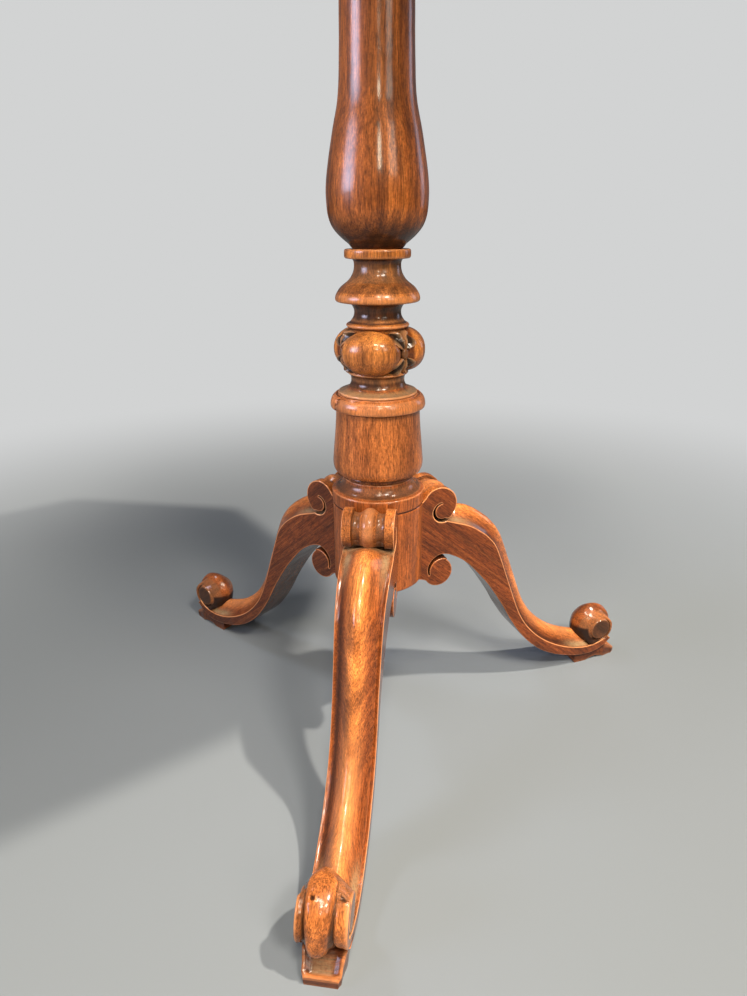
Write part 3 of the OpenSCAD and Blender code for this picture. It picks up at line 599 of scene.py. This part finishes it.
def carve_leg(carving, seed, side_dirt):
    """Rim and side faces of a leg, in reach, across and height. Painted shade lies
    evenly on its side faces, and thicker in the left hollow of its rib than in
    the right."""
    rows = leg_outline()
    count = len(rows)
    bevel = 0.6
    # The rounding of an arris: shares of the bevel, in from the side and down
    bevel_steps = ((0.0, 1.0), (0.134, 0.5), (0.5, 0.134))
    grid, outs = [], []
    for i, row in enumerate(rows):
        before, after = rows[i - 1]["place"], rows[(i + 1) % count]["place"]
        along = Vector((after[0] - before[0], after[1] - before[1])).normalized()
        out = Vector((-along.y, along.x))
        outs.append(out)
        half = row["half"]
        left = [(-(half - bevel * a), -bevel * b) for a, b in bevel_steps]
        right = [(-y, inset) for y, inset in reversed(left)]
        upper = row["name"] in ("upper", "neck", "throat", "roll", "top", "mouth")
        arris_wear = 1.0 if upper else 0.45
        if row["name"] == "lower":
            arris_wear *= 1 - 0.6 * row["dirt"]
        ribbed = eased(row["rib"], 3, 10)
        reeded = row["reed"] > 0.5
        plain_dust = 0.8 * (1 - ribbed) if upper and not reeded else 0.0
        line = []
        for y, inset in left + [((half - bevel) * s, None) for s in across] + right:
            lift = rim_relief(row, y) if inset is None else inset
            place = Vector(row["place"]) + out * lift
            share = abs(y) / half
            rough = 0.18 * noise.noise(Vector((place.x * 0.11 + seed, y * 0.13, place.y * 0.11)))
            place += out * rough * (1 if inset is None else 0.3)
            arris = 0.0 if inset is None else 1.0
            crown = eased(share, 0.6, 0.16) * ribbed
            near_scroll = max(eased(place.x, 100, 62), eased(place.x, 188, 214))
            in_hollow = math.exp(-((share - 0.72) / 0.16) ** 2) * ribbed
            # Painted shade in the hollows beside the rib, heavier in the left one
            hollow_dirt = (0.85 if y < 0 else 0.32) * in_hollow * (1 - near_scroll)
            valley = 1.0 if reeded and 6 < abs(y) < reed_edge else 0.0
            # The step beside the reeding is darkened: dirt and painted shade
            step = 1.0 if reeded and reed_edge - 0.5 < abs(y) < reed_edge + 0.6 else 0.0
            # Pale along the middle bead of the reeding and the lower crown of the rib: partly wear, partly a
            # painted highlight
            crest_wear_and_highlight = 0.45 * eased(abs(y), 5, 3) if reeded else 0.4 * crown * eased(place.x, 130, 165)
            line.append(carving.point(
                (place.x, y, place.y), along_board(place.x, y, place.y),
                worn=max(arris * arris_wear, crest_wear_and_highlight),
                rubbed=crown * 0.95 + (0.95 if reeded and not valley else 0.1),
                dust=max(in_hollow, plain_dust) * near_scroll + 0.3 * valley,
                grime=max(row["dirt"] * (1 - arris), hollow_dirt, 0.8 * step)))
        grid.append(line)
    carving.skin(grid, closed=True)
    # Side faces: a narrow border that ends the wear of the arris, and inside it
    # one flat face round the head and strips along the sweep
    first = next(i for i, row in enumerate(rows) if row["name"] == "upper")
    last = first + 2 * len(sweep) - 1
    border_width = 0.4
    for column in (0, -1):
        border = []
        for row, line, out in zip(rows, grid, outs):
            edge = carving.places[line[column]]
            place = Vector((edge.x - out.x * border_width, edge.y, edge.z - out.y * border_width))
            # The side faces carry the leg's painted shade, and within the scrolls a darkening from dirt and
            # painted shade
            in_scroll = row["name"] in ("eye", "throat", "mouth", "low_eye", "low_throat")
            border.append(carving.point(place, along_board(*place),
                                        grime=max(0.32 if in_scroll else 0.0, side_dirt)))
        carving.skin([[line[column] for line in grid] + [grid[0][column]], border + [border[0]]])
        head = border[:first + 1] + border[last:]
        carving.cap(head, [(carving.places[i].x, carving.places[i].z) for i in head])
        for k in range(len(sweep) - 1):
            up, down = first + k, last - k
            carving.faces.append((border[up], border[up + 1], border[down - 1], border[down]))


toe_centre = (239, 36)
toe_half = 16.2
bead_round = 22.3


def toe_front(turn, flange_round):
    """Half section of the toe roll where it faces the room, each point with its
    wear and its darkening, dirt and painted shade in the slit and the cove: an
    eye, a slit, a flange that narrows to a tip below, a cove and half of the bead."""
    flange = flange_round + 1.2 * math.cos(math.radians(turn)) ** 2
    inner = 10.0 + 5.6 * eased(-turn, 5, 52)
    band = toe_half + 0.05 - 0.9 * eased(-turn, 45, 75)
    half = 6.3 + 2.8 * eased(turn, -30, 95)
    eye = [(0, toe_half, 0, 0.5), (4, toe_half, 0, 0.5), (8, toe_half - 0.05, 0, 0.5),
           (9.8, toe_half - 0.1, 0.1, 0.4), (10.6, toe_half - 0.3, 0.9, 0),
           (11.1, toe_half - 1.0, 0.5, 0.2), (11.3, toe_half - 2.4, 0, 0.95),
           (12.0, toe_half - 3.0, 0, 0.95), (12.8, toe_half - 2.0, 0, 0.8), (13.4, toe_half - 0.8, 0, 0.4),
           (14.4, band, 0, 0.3)]
    rim = [(flange - 1.4, band, 0.1, 0.3), (flange - 0.5, band - 0.2, 0.8, 0), (flange, band - 0.8, 0.8, 0),
           (flange + 0.1, max(band - 2.0, inner + 0.9), 0.1, 0), (flange, (band + inner) / 2 + 0.3, 0, 0),
           (flange - 0.3, inner + 0.7, 0, 0), (flange - 0.8, inner + 0.1, 0, 0.1)]
    low = (half + inner) / 2 + 0.2
    valley = flange_round - 0.8
    cove = [(valley, inner - 0.7, 0, 0.7), (valley - 0.5, low + 0.3, 0, 0.85),
            (valley - 0.3, low - 0.4, 0, 0.85), (valley + 0.8, half + 0.5, 0, 0.7)]
    bead = [(bead_round - 3.6 + 3.6 * math.cos(math.radians(a)), half * math.sin(math.radians(a)), 0, 0)
            for a in (74, 64, 54, 44, 35, 26, 17, 9, 0)]
    return eye + rim + cove + bead


def toe_back(turn):
    """Half section of the toe roll at its back: a bell from the eye to a ridge."""
    section = toe_front(turn, 18)[:6]
    rest = 31 - len(section)
    for k in range(rest):
        y = (toe_half - 1.9) * (1 - k / (rest - 1))
        section.append((11.4 + 10.9 * (1 - (y / (toe_half - 1.9)) ** 1.5) ** 0.95, y, 0, 0))
    return section


def carve_toe(carving, near, back):
    """Closed skin of the toe roll, in reach, across and height, set back from its
    eyes by a length. The near toe is longer below, leans to its left and has two
    dimples with raised rings."""
    flange_round = 18.4 if near else 16.4
    dimples = [(66, -3.4, 1.7), (74, 12.4, 2.4)] if near else []
    rows = []
    turns = 180
    for i in range(turns):
        turn = -180 + 360 * i / turns
        share = (eased(turn, 94, 66) if near else eased(turn, 82, 12)) * eased(turn, -150, -110)
        bead_share = eased(turn, 135, 95)
        half = []
        for f, b in zip(toe_front(turn, flange_round), toe_back(turn)):
            keep = share
            if f[1] < 9.5 and turn > 0 and near:
                keep = bead_share
            half.append([q + (p - q) * keep for p, q in zip(f, b)])
        section = half + [[r, -y, worn, grime] for r, y, worn, grime in reversed(half[:-1])]
        hang = 3.4 * eased(turn, -80, -48) * eased(turn, 5, -30) if near else 0.0
        line = []
        for r, y, worn, grime in section:
            dip, ring = 0.0, 0.0
            for angle, across_at, size in dimples:
                gap = math.hypot((turn - angle) * math.radians(1) * r, y - across_at)
                dip = max(dip, eased(size - gap, -0.2, 0.7))
                ring = max(ring, math.exp(-((gap - size - 0.7) / 0.6) ** 2))
            middle = max(1 - (y / 15) ** 2, 0)
            lump = 0.25 * noise.noise(Vector((turn * 0.05, y * 0.2, 3.0 if near else 7.0)))
            outer = 1.0 if r > 12.5 else 0.0
            radius = r + outer * (lump + hang * middle ** 2 - 1.8 * dip + 0.5 * ring)
            # Painted shade under the roll, where its wear and rubbed colour are also taken off
            under = outer * (eased(turn, -55, -85) if turn < 0 else eased(turn, 165, 178))
            angle = math.radians(turn)
            x = toe_centre[0] + radius * math.cos(angle) - back * eased(r, 11.5, 15)
            z = toe_centre[1] + radius * math.sin(angle)
            lean = -3.2 * middle * outer if near else 0.0
            # Painted shade on the near toe's left flank; the side toes dark in the eye and a little darker all
            # over
            flank_shade_and_dark_eye = (0.7 if y < -9 else 0.0) if near else (0.85 if r < 10.8 else 0.15)
            bare = 1 if near else 0.3
            rubbed = (0.85 if r > 18.6 else 0.4) if near else 0.25
            line.append(carving.point(
                (x, y + lean, z), along_board(x, y, z), worn=worn * bare * (1 - under),
                rubbed=rubbed * (1 - under), dust=0.25 if r < 18.5 else 0,
                grime=max(grime, under, dip, flank_shade_and_dark_eye, 0.12)))
        rows.append(line)
    carving.skin(rows, closed=True)


legs = {"front": -89, "right": 29, "left": 150}
toe_set_back = {"front": 0, "right": 3.5, "left": 2}
# How much painted shade darkens each leg's side faces, most on the left leg
leg_dirt = {"front": 0.36, "right": 0.26, "left": 0.5}
for number, (side, angle) in enumerate(legs.items()):
    carving = Carving()
    carve_leg(carving, seed=number * 5.3, side_dirt=leg_dirt[side])
    carve_toe(carving, near=side == "front", back=toe_set_back[side])
    # Each leg is sawn from another part of the plank
    start = number * Vector((31.0, 17.0, 400.0))
    carving.boards = [b + start for b in carving.boards]
    leg = carving.finish("carved_leg_" + side, walnut, turn=math.radians(angle))
    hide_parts("leg_" + side)
    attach(leg, "root")


# The foot pads: small blocks of walnut glued under the toes, worn pale and
# hollow on the upper face in front of the roll, with an arch cut underneath.
pad_upper = flowing([(211.5, 12.0), (219, 10.6), (232, 10.8), (241, 13.2), (249, 15.0), (254, 12.2),
                     (258.6, 8.6), (262.3, 6.3)], 6)
pad_under = [(263, 0), (248, 0), (244, 2), (237, 3.2), (230, 2), (226, 0), (213, 0), (211.5, 2)]


def under_at(reach):
    """Height of the pad's underside at a reach."""
    line = sorted(pad_under)
    for (x0, z0), (x1, z1) in zip(line, line[1:]):
        if x0 <= reach <= x1:
            return z0 + (z1 - z0) * (reach - x0) / (x1 - x0)
    return line[0][1]


def carve_pad(carving):
    """Closed skin of a pad: dished and worn pale in front of the roll, tapered in
    plan, with a bright rubbed edge round its lip."""
    rows = []
    for x, z in pad_upper:
        low = under_at(x)
        front = eased(x, 245, 253)
        ring = []
        half = 14.3 - 1.8 * eased(x, 246, 258) - 1.6 * eased(x, 259, 262.4)
        for y in [half * s / 12 for s in range(-12, 13)]:
            share = abs(y) / half
            scoop = 2.4 * front * (1 - eased(share, 0.5, 0.9)) * (1 - eased(x, 258.5, 261.6))
            drop = 0.8 if share > 0.99 else 0.0
            rim = max(eased(share, 0.8, 0.95), eased(x, 258.5, 260.5)) * front
            centre = 0.6 * eased(share, 0.75, 0.35) * eased(x, 249, 254) * (1 - rim)
            # Dark under the overhanging toe roll: painted shade; darker also over the rest of the top but for
            # its pale centre and rubbed rim
            ring.append(carving.point(
                (x, y, z - scoop - drop), (x, z, y), rubbed=0.6 * rim, worn=0.3 * rim, dust=centre,
                grime=max(1 - eased(x, 244, 252), 0.55 * (1 - centre - rim))))
        # Down one side, across underneath and up the other side: distance across,
        # height, height in the board, wear and how dark it is
        side = [(half, low + (z - low) * 0.6, z * 0.6, 0, 0.55), (half, low + (z - low) * 0.3, z * 0.3, 0, 0.55),
                (half - 0.4, low, 0, 0.2, 0.55)]
        under = [(half * s / 12, low, low, 0, 0.5) for s in range(11, -12, -2)]
        other = [(-y, *rest) for y, *rest in reversed(side)]
        for y, height, in_board, worn, grime in side + under + other:
            ring.append(carving.point((x, y, height), (x, in_board, y), worn=worn, grime=grime))
        rows.append(ring)
    carving.skin(rows, ring=True)
    for end in (rows[0], rows[-1]):
        carving.cap(end, [(carving.places[i].y, carving.places[i].z) for i in end])


for side, angle in legs.items():
    carving = Carving()
    carve_pad(carving)
    pad = carving.finish("pad_" + side, walnut, turn=math.radians(angle))
    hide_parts("foot_pad_" + side)
    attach(pad, "root")


# The drum: walnut, turned with a round moulding at its head and a bead at its
# foot, and spigoted into the hub. An old shrinkage crack runs through the moulding.
drum_low = hub_high
drum_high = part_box("drum")[1].z / mm
drum_outline = (
    [(0, drum_low), (27.2, drum_low)]
    + bezel((27.9, drum_low + 2.3), 2.4, -85, 85, 9)
    + [(28.0, drum_low + 4.7), (32.8, drum_low + 4.6)]
    + flowing([(34.2, drum_low + 5.1), (35.7, drum_low + 7.4), (36.5, drum_low + 10.6), (36.6, drum_low + 14),
               (36.3, drum_low + 18), (35.4, drum_low + 28), (34.4, drum_low + 38), (33.7, drum_low + 48),
               (33.2, drum_high - 11.4)], 6)
    + [(32.7, drum_high - 10.9), (36.4, drum_high - 10.7)]
    + flowing([(37.2, drum_high - 10.2), (37.6, drum_high - 8.3), (37.2, drum_high - 5.2),
               (36.0, drum_high - 2.4), (34.4, drum_high - 0.7), (33.7, drum_high - 0.1)], 6)
    + [(33.0, drum_high - 0.1), (32.7, drum_high - 1.8), (31.7, drum_high - 1.8), (31.2, drum_high),
       (0, drum_high)])
drum = turned("turned_drum", drum_outline, walnut, seed=2, rubbed=0.65, spacing=0.5)
crack_azimuth = math.radians(camera_azimuth - 62)
crack_half = math.radians(1.6)
crack_depth = 2.2
marks = drum.data.attributes
for vertex, grime, worn in zip(drum.data.vertices, marks["grime"].data, marks["worn"].data):
    # The bead at the drum's foot, where it meets the hub, is dark: painted shade
    if vertex.co.z / mm < drum_low + 4.6:
        grime.value = 0.55
    height = vertex.co.z / mm - (drum_high - 10.6)
    # The round moulding at the head is pale: wear, and partly a painted highlight
    if 0 < height < 9.6:
        worn.value = 0.4
        lean = crack_azimuth + math.radians(-3 + 0.7 * height + 1.5 * math.sin(height * 1.3))
        gap = abs(math.atan2(vertex.co.y, vertex.co.x) - lean)
        if gap < crack_half:
            depth = crack_depth * eased(height, 0, 3)
            vertex.co.xy *= 1 - depth * mm / vertex.co.xy.length
            # Black inside the crack: painted shade
            grime.value = 1.0
            worn.value = 0.0
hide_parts("drum")
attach(drum, "root")


# The knop section: one length of dark figured rosewood with a flat disc at its
# foot, three carved bosses with leaves and beads between them, a bell-shaped
# ring and a thin ring at its head.

# Figured rosewood, French polished: warm brown bands with black streaks along the
# grain, under a deep clear gloss
rosewood = timber("polished rosewood", pale="#B8682C", middle="#9A501E", deep="#6E3814", ink="#1E0A04",
                  rubbed="#D0863F", growth=4.6, figure=0.6, pore_share=0.4, ink_share=0.42)
knop_low = drum_high
knop_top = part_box("knop_section")[1].z / mm
knop_height = knop_low + 33.5
knop_turn = -95.3
boss_high = 16.9
boss_wide = 22.3
boss_reach = 36.8
boss_board = 530
core_middle = 13
core_round = 13.6
leaf_round = 27
collar = knop_height + boss_high
knop_outline = (
    [(0, knop_low), (30.6, knop_low), (31.3, knop_low + 0.6), (31.3, knop_low + 1.9), (30.6, knop_low + 2.5),
     (28.2, knop_low + 2.9)]
    + flowing([(26.5, knop_low + 3.4), (23.2, knop_low + 5.2), (21.0, knop_low + 9), (21.0, knop_low + 13),
               (21.9, knop_low + 15.4)], 5)
    + [(23.4, knop_low + 15.9), (24.2, knop_low + 16.9), (23.6, knop_low + 17.9), (22.6, knop_low + 18.4)]
    + bezel((core_middle, knop_height), core_round, -62, 62, 14)
    + [(22.4, collar + 0.6), (23.6, collar + 0.9), (24.2, collar + 2.0), (23.6, collar + 3.2),
       (21.6, collar + 4.0)]
    + flowing([(20.6, collar + 4.8), (18.2, collar + 8.5), (17.8, collar + 13), (20.1, collar + 17.4),
               (24, collar + 18.6)], 5)
    + [(30.5, collar + 19), (31.8, collar + 19.8)]
    + flowing([(31.9, collar + 21), (31.3, collar + 24.2), (27.8, collar + 29.4), (21.6, collar + 34.4),
               (18.2, collar + 40), (17.4, collar + 46), (18.6, collar + 49)], 5)
    + [(23.6, collar + 49.4), (24.6, collar + 50.2), (24.6, knop_top - 0.9), (23.8, knop_top), (0, knop_top)])
knop = turned("knop_section_turned", knop_outline, rosewood, seed=3, rubbed=0.5)
marks = [knop.data.attributes[mark].data for mark in ("grime", "dust", "worn")]
for vertex, grime, dust, worn in zip(knop.data.vertices, *marks):
    height = vertex.co.z / mm
    if height < knop_low + 6:
        grime.value *= 0.2
        dust.value = 0.8 * eased(height, knop_low + 6, knop_low + 3)
    # A pale band round the bell's widest part: wear, and partly a painted highlight
    if collar + 19.5 < height < collar + 25:
        worn.value = 0.35
    # Dark in the cove and neck above the bell: painted shade
    if collar + 26 < height < collar + 48:
        grime.value = 0.5


def carve_boss(carving, turn):
    """Closed pillow of a boss, square-shouldered and wider than it is high."""
    rows = []
    power = 0.9
    for i in range(49):
        lat = math.radians(-90 + 180 * i / 48)
        flat = abs(math.cos(lat)) ** power
        line = []
        for j in range(72):
            lon = 2 * math.pi * j / 72
            up = boss_high * flat * math.copysign(abs(math.sin(lon)) ** power, math.sin(lon))
            out = boss_high * flat * math.copysign(abs(math.cos(lon)) ** 0.95, math.cos(lon))
            reach = boss_reach - boss_high + out
            rim = eased(reach, 23.5, 21)
            x, y = swung(reach, boss_wide * math.sin(lat), turn)
            z = knop_height + up
            # Dark round the rim where the boss meets the core: painted shade; the rubbed colour grows towards
            # the top of the boss: a painted sheen from the light above
            line.append(carving.point((x, y, z), (x, y, z + boss_board), grime=0.5 * rim,
                                      rubbed=(0.55 + 0.35 * up / boss_high) * (1 - rim)))
        rows.append(line)
    carving.skin(rows, ring=True)


def carve_leaf(carving, start, stop, wide, lift, bend):
    """Closed leaf on the core of the knop, from one azimuth and height to
    another, with a sunk vein and raised edges."""
    length, breadth = 14, 9
    way_round = (stop[0] - start[0]) * leaf_round
    way_up = stop[1] - start[1]
    run = math.hypot(way_round, way_up)
    top, bottom = [], []
    for i in range(length + 1):
        t = i / length
        body = math.sin(math.pi * min(t * 1.06, 1)) ** 0.7 if t < 0.95 else 0.12
        turn = start[0] + (stop[0] - start[0]) * t
        high = start[1] + way_up * t + bend * math.sin(math.pi * t)
        swell = lift * math.sin(math.pi * (0.12 + 0.8 * t))
        row_top, row_bottom = [], []
        for j in range(breadth):
            v = -1 + 2 * j / (breadth - 1)
            spread = wide * body * v
            azimuth = turn - spread * way_up / run / leaf_round
            z = high + spread * way_round / run
            core = core_middle + math.sqrt(max(core_round ** 2 - (z - knop_height) ** 2, 40))
            rise = swell * (0.55 + 0.6 * abs(v)) * (1 - abs(v) ** 6)
            # Dark in the sunk vein and along the edges on the core, painted shade, and a little dark elsewhere;
            # pale wear on the raised edges; dusty all over
            marks = dict(worn=0.5 if 0.6 < abs(v) < 0.8 else 0, dust=0.75,
                         grime=1.0 if abs(v) < 0.3 or abs(v) > 0.95 else 0.3)
            for line, reach, shown in ((row_top, core + rise - 0.1, marks), (row_bottom, core - 1.5, {})):
                line.append(carving.point((*swung(reach, 0, azimuth), z), (reach, azimuth * leaf_round, z),
                                          **shown))
        top.append(row_top)
        bottom.append(row_bottom)
    carving.skin(top)
    carving.skin(bottom)
    rims = [([r[0] for r in top], [r[0] for r in bottom]), ([r[-1] for r in top], [r[-1] for r in bottom]),
            (top[0], bottom[0]), (top[-1], bottom[-1])]
    for upper, lower in rims:
        carving.skin([upper, lower])


def carve_bead(carving, turn):
    """Small oval bead between two bosses, dished at its middle."""
    rows = []
    for i in range(19):
        lat = math.radians(-90 + 180 * i / 18)
        line = []
        for j in range(28):
            lon = 2 * math.pi * j / 28
            reach = 26.0 + 4.6 * math.sin(lat) - 3.2 * max(math.sin(lat) - 0.75, 0)
            aside = 3.6 * math.cos(lat) * math.cos(lon)
            up = 4.6 * math.cos(lat) * math.sin(lon)
            place = (*swung(reach, aside, turn), knop_height + up)
            # Darker towards the core, painted shade, and a little dark all over
            line.append(carving.point(place, place, grime=max(eased(reach, 29.2, 27.5), 0.4),
                                      rubbed=0.2, dust=0.3))
        rows.append(line)
    carving.skin(rows, ring=True)


carving = Carving()
bosses = 3
for k in range(bosses):
    carve_boss(carving, math.radians(knop_turn + 360 / bosses * k))
    gap = math.radians(knop_turn + 360 / bosses * (k + 0.5))
    carve_bead(carving, gap)
    for up in (-1, 1):
        for turn in (-1, 1):
            carve_leaf(carving, (gap + turn * 0.05, knop_height + up * 3.4),
                       (gap + turn * 0.44, knop_height + up * 14.6), 6.4, 9.0, up * 2.4)
        carve_leaf(carving, (gap, knop_height + up * 5.0), (gap, knop_height + up * 15.4), 3.2, 6.0, 0)
carved = carving.finish("knop_carving", rosewood)
joined = bmesh.new()
joined.from_mesh(knop.data)
joined.from_mesh(carved.data)
joined.to_mesh(knop.data)
joined.free()
bpy.data.objects.remove(carved)
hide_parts("knop_section")
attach(knop, "root")


# The baluster: rosewood turned with a low full swell and a long waist, up to
# the rings and the cap that bear on the block. Its tenon goes through the block.
baluster_low = knop_top
block_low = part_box("top_block")[0].z / mm
baluster_outline = (
    [(0, baluster_low), (18.8, baluster_low)]
    + flowing([(20.8, baluster_low + 3.1), (27, baluster_low + 8.1), (32.7, baluster_low + 14.7),
               (35.7, baluster_low + 22.8), (36.6, baluster_low + 32.8), (36.5, baluster_low + 41.9),
               (34.9, baluster_low + 54.7), (31.1, baluster_low + 75.6), (26.8, baluster_low + 96.3),
               (25.3, baluster_low + 124.1), (24.6, baluster_low + 159.1), (23, baluster_low + 198.8),
               (22, block_low - 32)], 8)
    + bezel((23.6, block_low - 27), 4.2, -90, 90, 10)
    + [(22.2, block_low - 22.2)]
    + [(22 + 8 * (1 - math.cos(math.radians(a))), block_low - 21.5 + 13 * math.sin(math.radians(a)))
       for a in range(0, 100, 10)]
    + [(32.2, block_low - 8.2), (33, block_low - 7.2), (33, block_low - 1.4), (31.8, block_low),
       (16, block_low), (16, block_low + 23.5), (0, block_low + 23.5)])
baluster = turned("turned_baluster", baluster_outline, rosewood, seed=4, rubbed=0.12, spacing=1.1)
# Dark towards the foot of the baluster, which faces down: painted shade
for vertex, grime in zip(baluster.data.vertices, baluster.data.attributes["grime"].data):
    grime.value = max(grime.value, 0.9 * eased(vertex.co.z / mm, baluster_low + 26, baluster_low + 6))
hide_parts("baluster")
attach(baluster, "root")


# The block under the top, its screws and the wedge in the tenon: the block is
# walnut, sawn and planed but never polished, and the screws are hand-filed iron.
raw_walnut = timber("planed walnut", pale="#9A6A45", middle="#7C4E30", deep="#5E3820", ink="#2C170C",
                    rubbed="#9A6A45", growth=5.0, figure=0.7, pore_share=0.6, ink_share=0.35,
                    polish=0.05, along=0)


def old_iron():
    """Dark iron with brown rust in patches, bare and metallic between them."""
    material = bpy.data.materials.new("old iron")
    material.use_nodes = True
    tree = material.node_tree
    tree.nodes.clear()
    place = put(tree, "ShaderNodeTexCoord").outputs["Object"]
    # Rust in patches 2 mm across, and pits of 0.3 mm
    patch = put(tree, "ShaderNodeTexNoise", {"Vector": place, "Scale": 420.0, "Detail": 4.0}).outputs[0]
    pits = put(tree, "ShaderNodeTexNoise", {"Vector": place, "Scale": 2600.0, "Detail": 2.0}).outputs[0]
    rust = put(tree, "ShaderNodeMapRange", {"Value": patch, "From Min": 0.45, "From Max": 0.6}).outputs[0]
    colour = put(tree, "ShaderNodeMix",
                 {"Factor": rust, 6: paint("#4A4644"), 7: paint("#5A2E18")}, data_type="RGBA")
    bright = put(tree, "ShaderNodeMath", {0: 1.0, 1: rust}, operation="SUBTRACT")
    rough = put(tree, "ShaderNodeMapRange", {"Value": rust, "To Min": 0.42, "To Max": 0.85})
    bump = put(tree, "ShaderNodeBump", {"Height": pits, "Strength": 0.5, "Distance": 0.1 * mm})
    surface = put(tree, "ShaderNodeBsdfPrincipled",
                  {"Base Color": colour.outputs[2], "Metallic": bright.outputs[0],
                   "Roughness": rough.outputs[0], "Normal": bump.outputs[0]})
    put(tree, "ShaderNodeOutputMaterial", {"Surface": surface.outputs[0]})
    return material


def dress(node, material):
    """Gives a CAD node that stays in view a material of its own."""
    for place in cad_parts[node].material_slots:
        place.link = "OBJECT"
        place.material = material


dress("top_block", raw_walnut)
dress("stem_wedge", raw_walnut)
dress("block_screws", old_iron())


# The ground of the top: three pine boards, edge-jointed, planed by hand below
# and gone brown with age.
pine = timber("old planed pine", pale="#B98A58", middle="#A27044", deep="#7C4C2A", ink="#4A2A15",
              rubbed="#B98A58", growth=4.0, figure=1.0, pore_share=0.25, ink_share=0.25, polish=0.0, along=1)
for side in ("left", "middle", "right"):
    dress("top_board_" + side, pine)


# The veneer: eight leaves of rosewood cut one after another from a log, laid
# radially and turned over in pairs, so that each seam has the figure mirrored.

# Sawn veneer, scraped flat and French polished: broad figure with black streaks, a
# little darker and redder than the pillar
veneer_wood = timber("polished rosewood veneer", pale="#93512A", middle="#7A3C1E", deep="#562813",
                     ink="#1C0A05", rubbed="#B4682F", growth=5.5, figure=0.8, pore_share=0.5, ink_share=0.55)
leaves = 8
leaf_low, leaf_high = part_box("top_veneer_1")[0].z / mm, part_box("top_veneer_1")[1].z / mm
leaf_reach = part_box("top_veneer_1")[1].x / mm
mitre_angle = math.radians(22.5)
mitre = math.tan(mitre_angle)
# Where the leaves were cut from the log, in millimetres from its heart
log_side, log_back = 60, -58
for k in range(leaves):
    carving = Carving()
    mirrored = 1 if k % 2 else -1
    rings = []
    for inset, height, grime in ((0.02, leaf_low, 0), (0.02, leaf_high - 0.12, 0.9),
                                 (0.14, leaf_high, 0.6), (1.0, leaf_high, 0.0)):
        reach = leaf_reach - inset
        tip = inset / math.sin(mitre_angle)
        half = (reach - tip) * mitre
        ring = []
        for x, y in ((tip, 0), (reach, -half), (reach, half)):
            in_log = (log_side + y * mirrored + x * 0.05, log_back + x * 0.03, x + height)
            ring.append(carving.point((x, y, height), in_log, grime=grime))
        rings.append(ring)
    carving.skin(rings, ring=True)
    carving.faces += [tuple(rings[0]), tuple(rings[-1])]
    leaf = carving.finish("veneer_leaf_%d" % (k + 1), veneer_wood, turn=math.radians(45 * k))
    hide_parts("top_veneer_%d" % (k + 1))
    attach(leaf, "root")


# The edge mouldings: eight lengths of rosewood mitred at the corners, with a
# thumb moulding above, a fillet and a small bead below, worn along the arrises.
edge_low, edge_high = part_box("edge_moulding_1")[0].z / mm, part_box("edge_moulding_1")[1].z / mm
edge_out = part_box("edge_moulding_1")[1].x / mm
edge_in = leaf_reach
thumb = 9


def moulding_section():
    """Closed section, as distance from the middle, height, wear, and darkness: painted
    shade under the thumb, and dirt in the joint with the veneer.
    """
    middle = (edge_in + edge_out) / 2
    bead = [(x, z, 0, 0) for x, z in bezel((middle, edge_low + 5), 4, -60, 30, 10)]
    nose = [(x, z, 0, 0) for x, z in bezel((edge_out - thumb, edge_high - thumb), thumb, 0, 84, 14)]
    return ([(edge_in + 0.02, edge_low + 0.3, 0, 0), (edge_in + 0.4, edge_low, 0, 0),
             (middle - 0.5, edge_low, 0.3, 0), (middle, edge_low + 0.3, 0.5, 0)] + bead
            # Dark on the fillet under the overhang of the thumb: painted shade
            + [(middle + 3.5, edge_low + 8.8, 0, 0.9), (edge_out - 2.5, edge_low + 9, 0, 0.8),
               (edge_out - 0.5, edge_low + 9, 0, 0.3), (edge_out - 0.1, edge_low + 9.3, 0.9, 0)] + nose
            + [(edge_in + 1, edge_high, 0, 0), (edge_in + 0.2, edge_high, 0, 0.4),
               (edge_in + 0.02, edge_high - 0.15, 0, 0.9)])


section = moulding_section()
steps = 40
for k in range(leaves):
    carving = Carving()
    rows = []
    for i in range(steps + 1):
        share = -1 + 2 * i / steps
        at_mitre = eased(abs(share), 0.9975, 1.0)
        row = []
        for x, z, worn, grime in section:
            y = share * (x * mitre - 0.03)
            rough = 0.12 * noise.noise(Vector((y * 0.09, z * 0.3, k * 4.1)))
            on_thumb = edge_out - x < 12 and z > edge_low + 9.2
            outward = x - (abs(rough) if on_thumb else 0)
            row.append(carving.point((outward, y, z), (x, z + k * 40, y), worn=0.6 * worn,
                                     grime=max(grime, 0.7 * at_mitre, 0.16)))
        rows.append(row)
    carving.skin(rows, ring=True)
    for end in (rows[0], rows[-1]):
        carving.cap(end, [(x, z) for x, z, worn, grime in section])
    edge = carving.finish("edge_length_%d" % (k + 1), rosewood, turn=math.radians(45 * k))
    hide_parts("edge_moulding_%d" % (k + 1))
    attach(edge, "root")
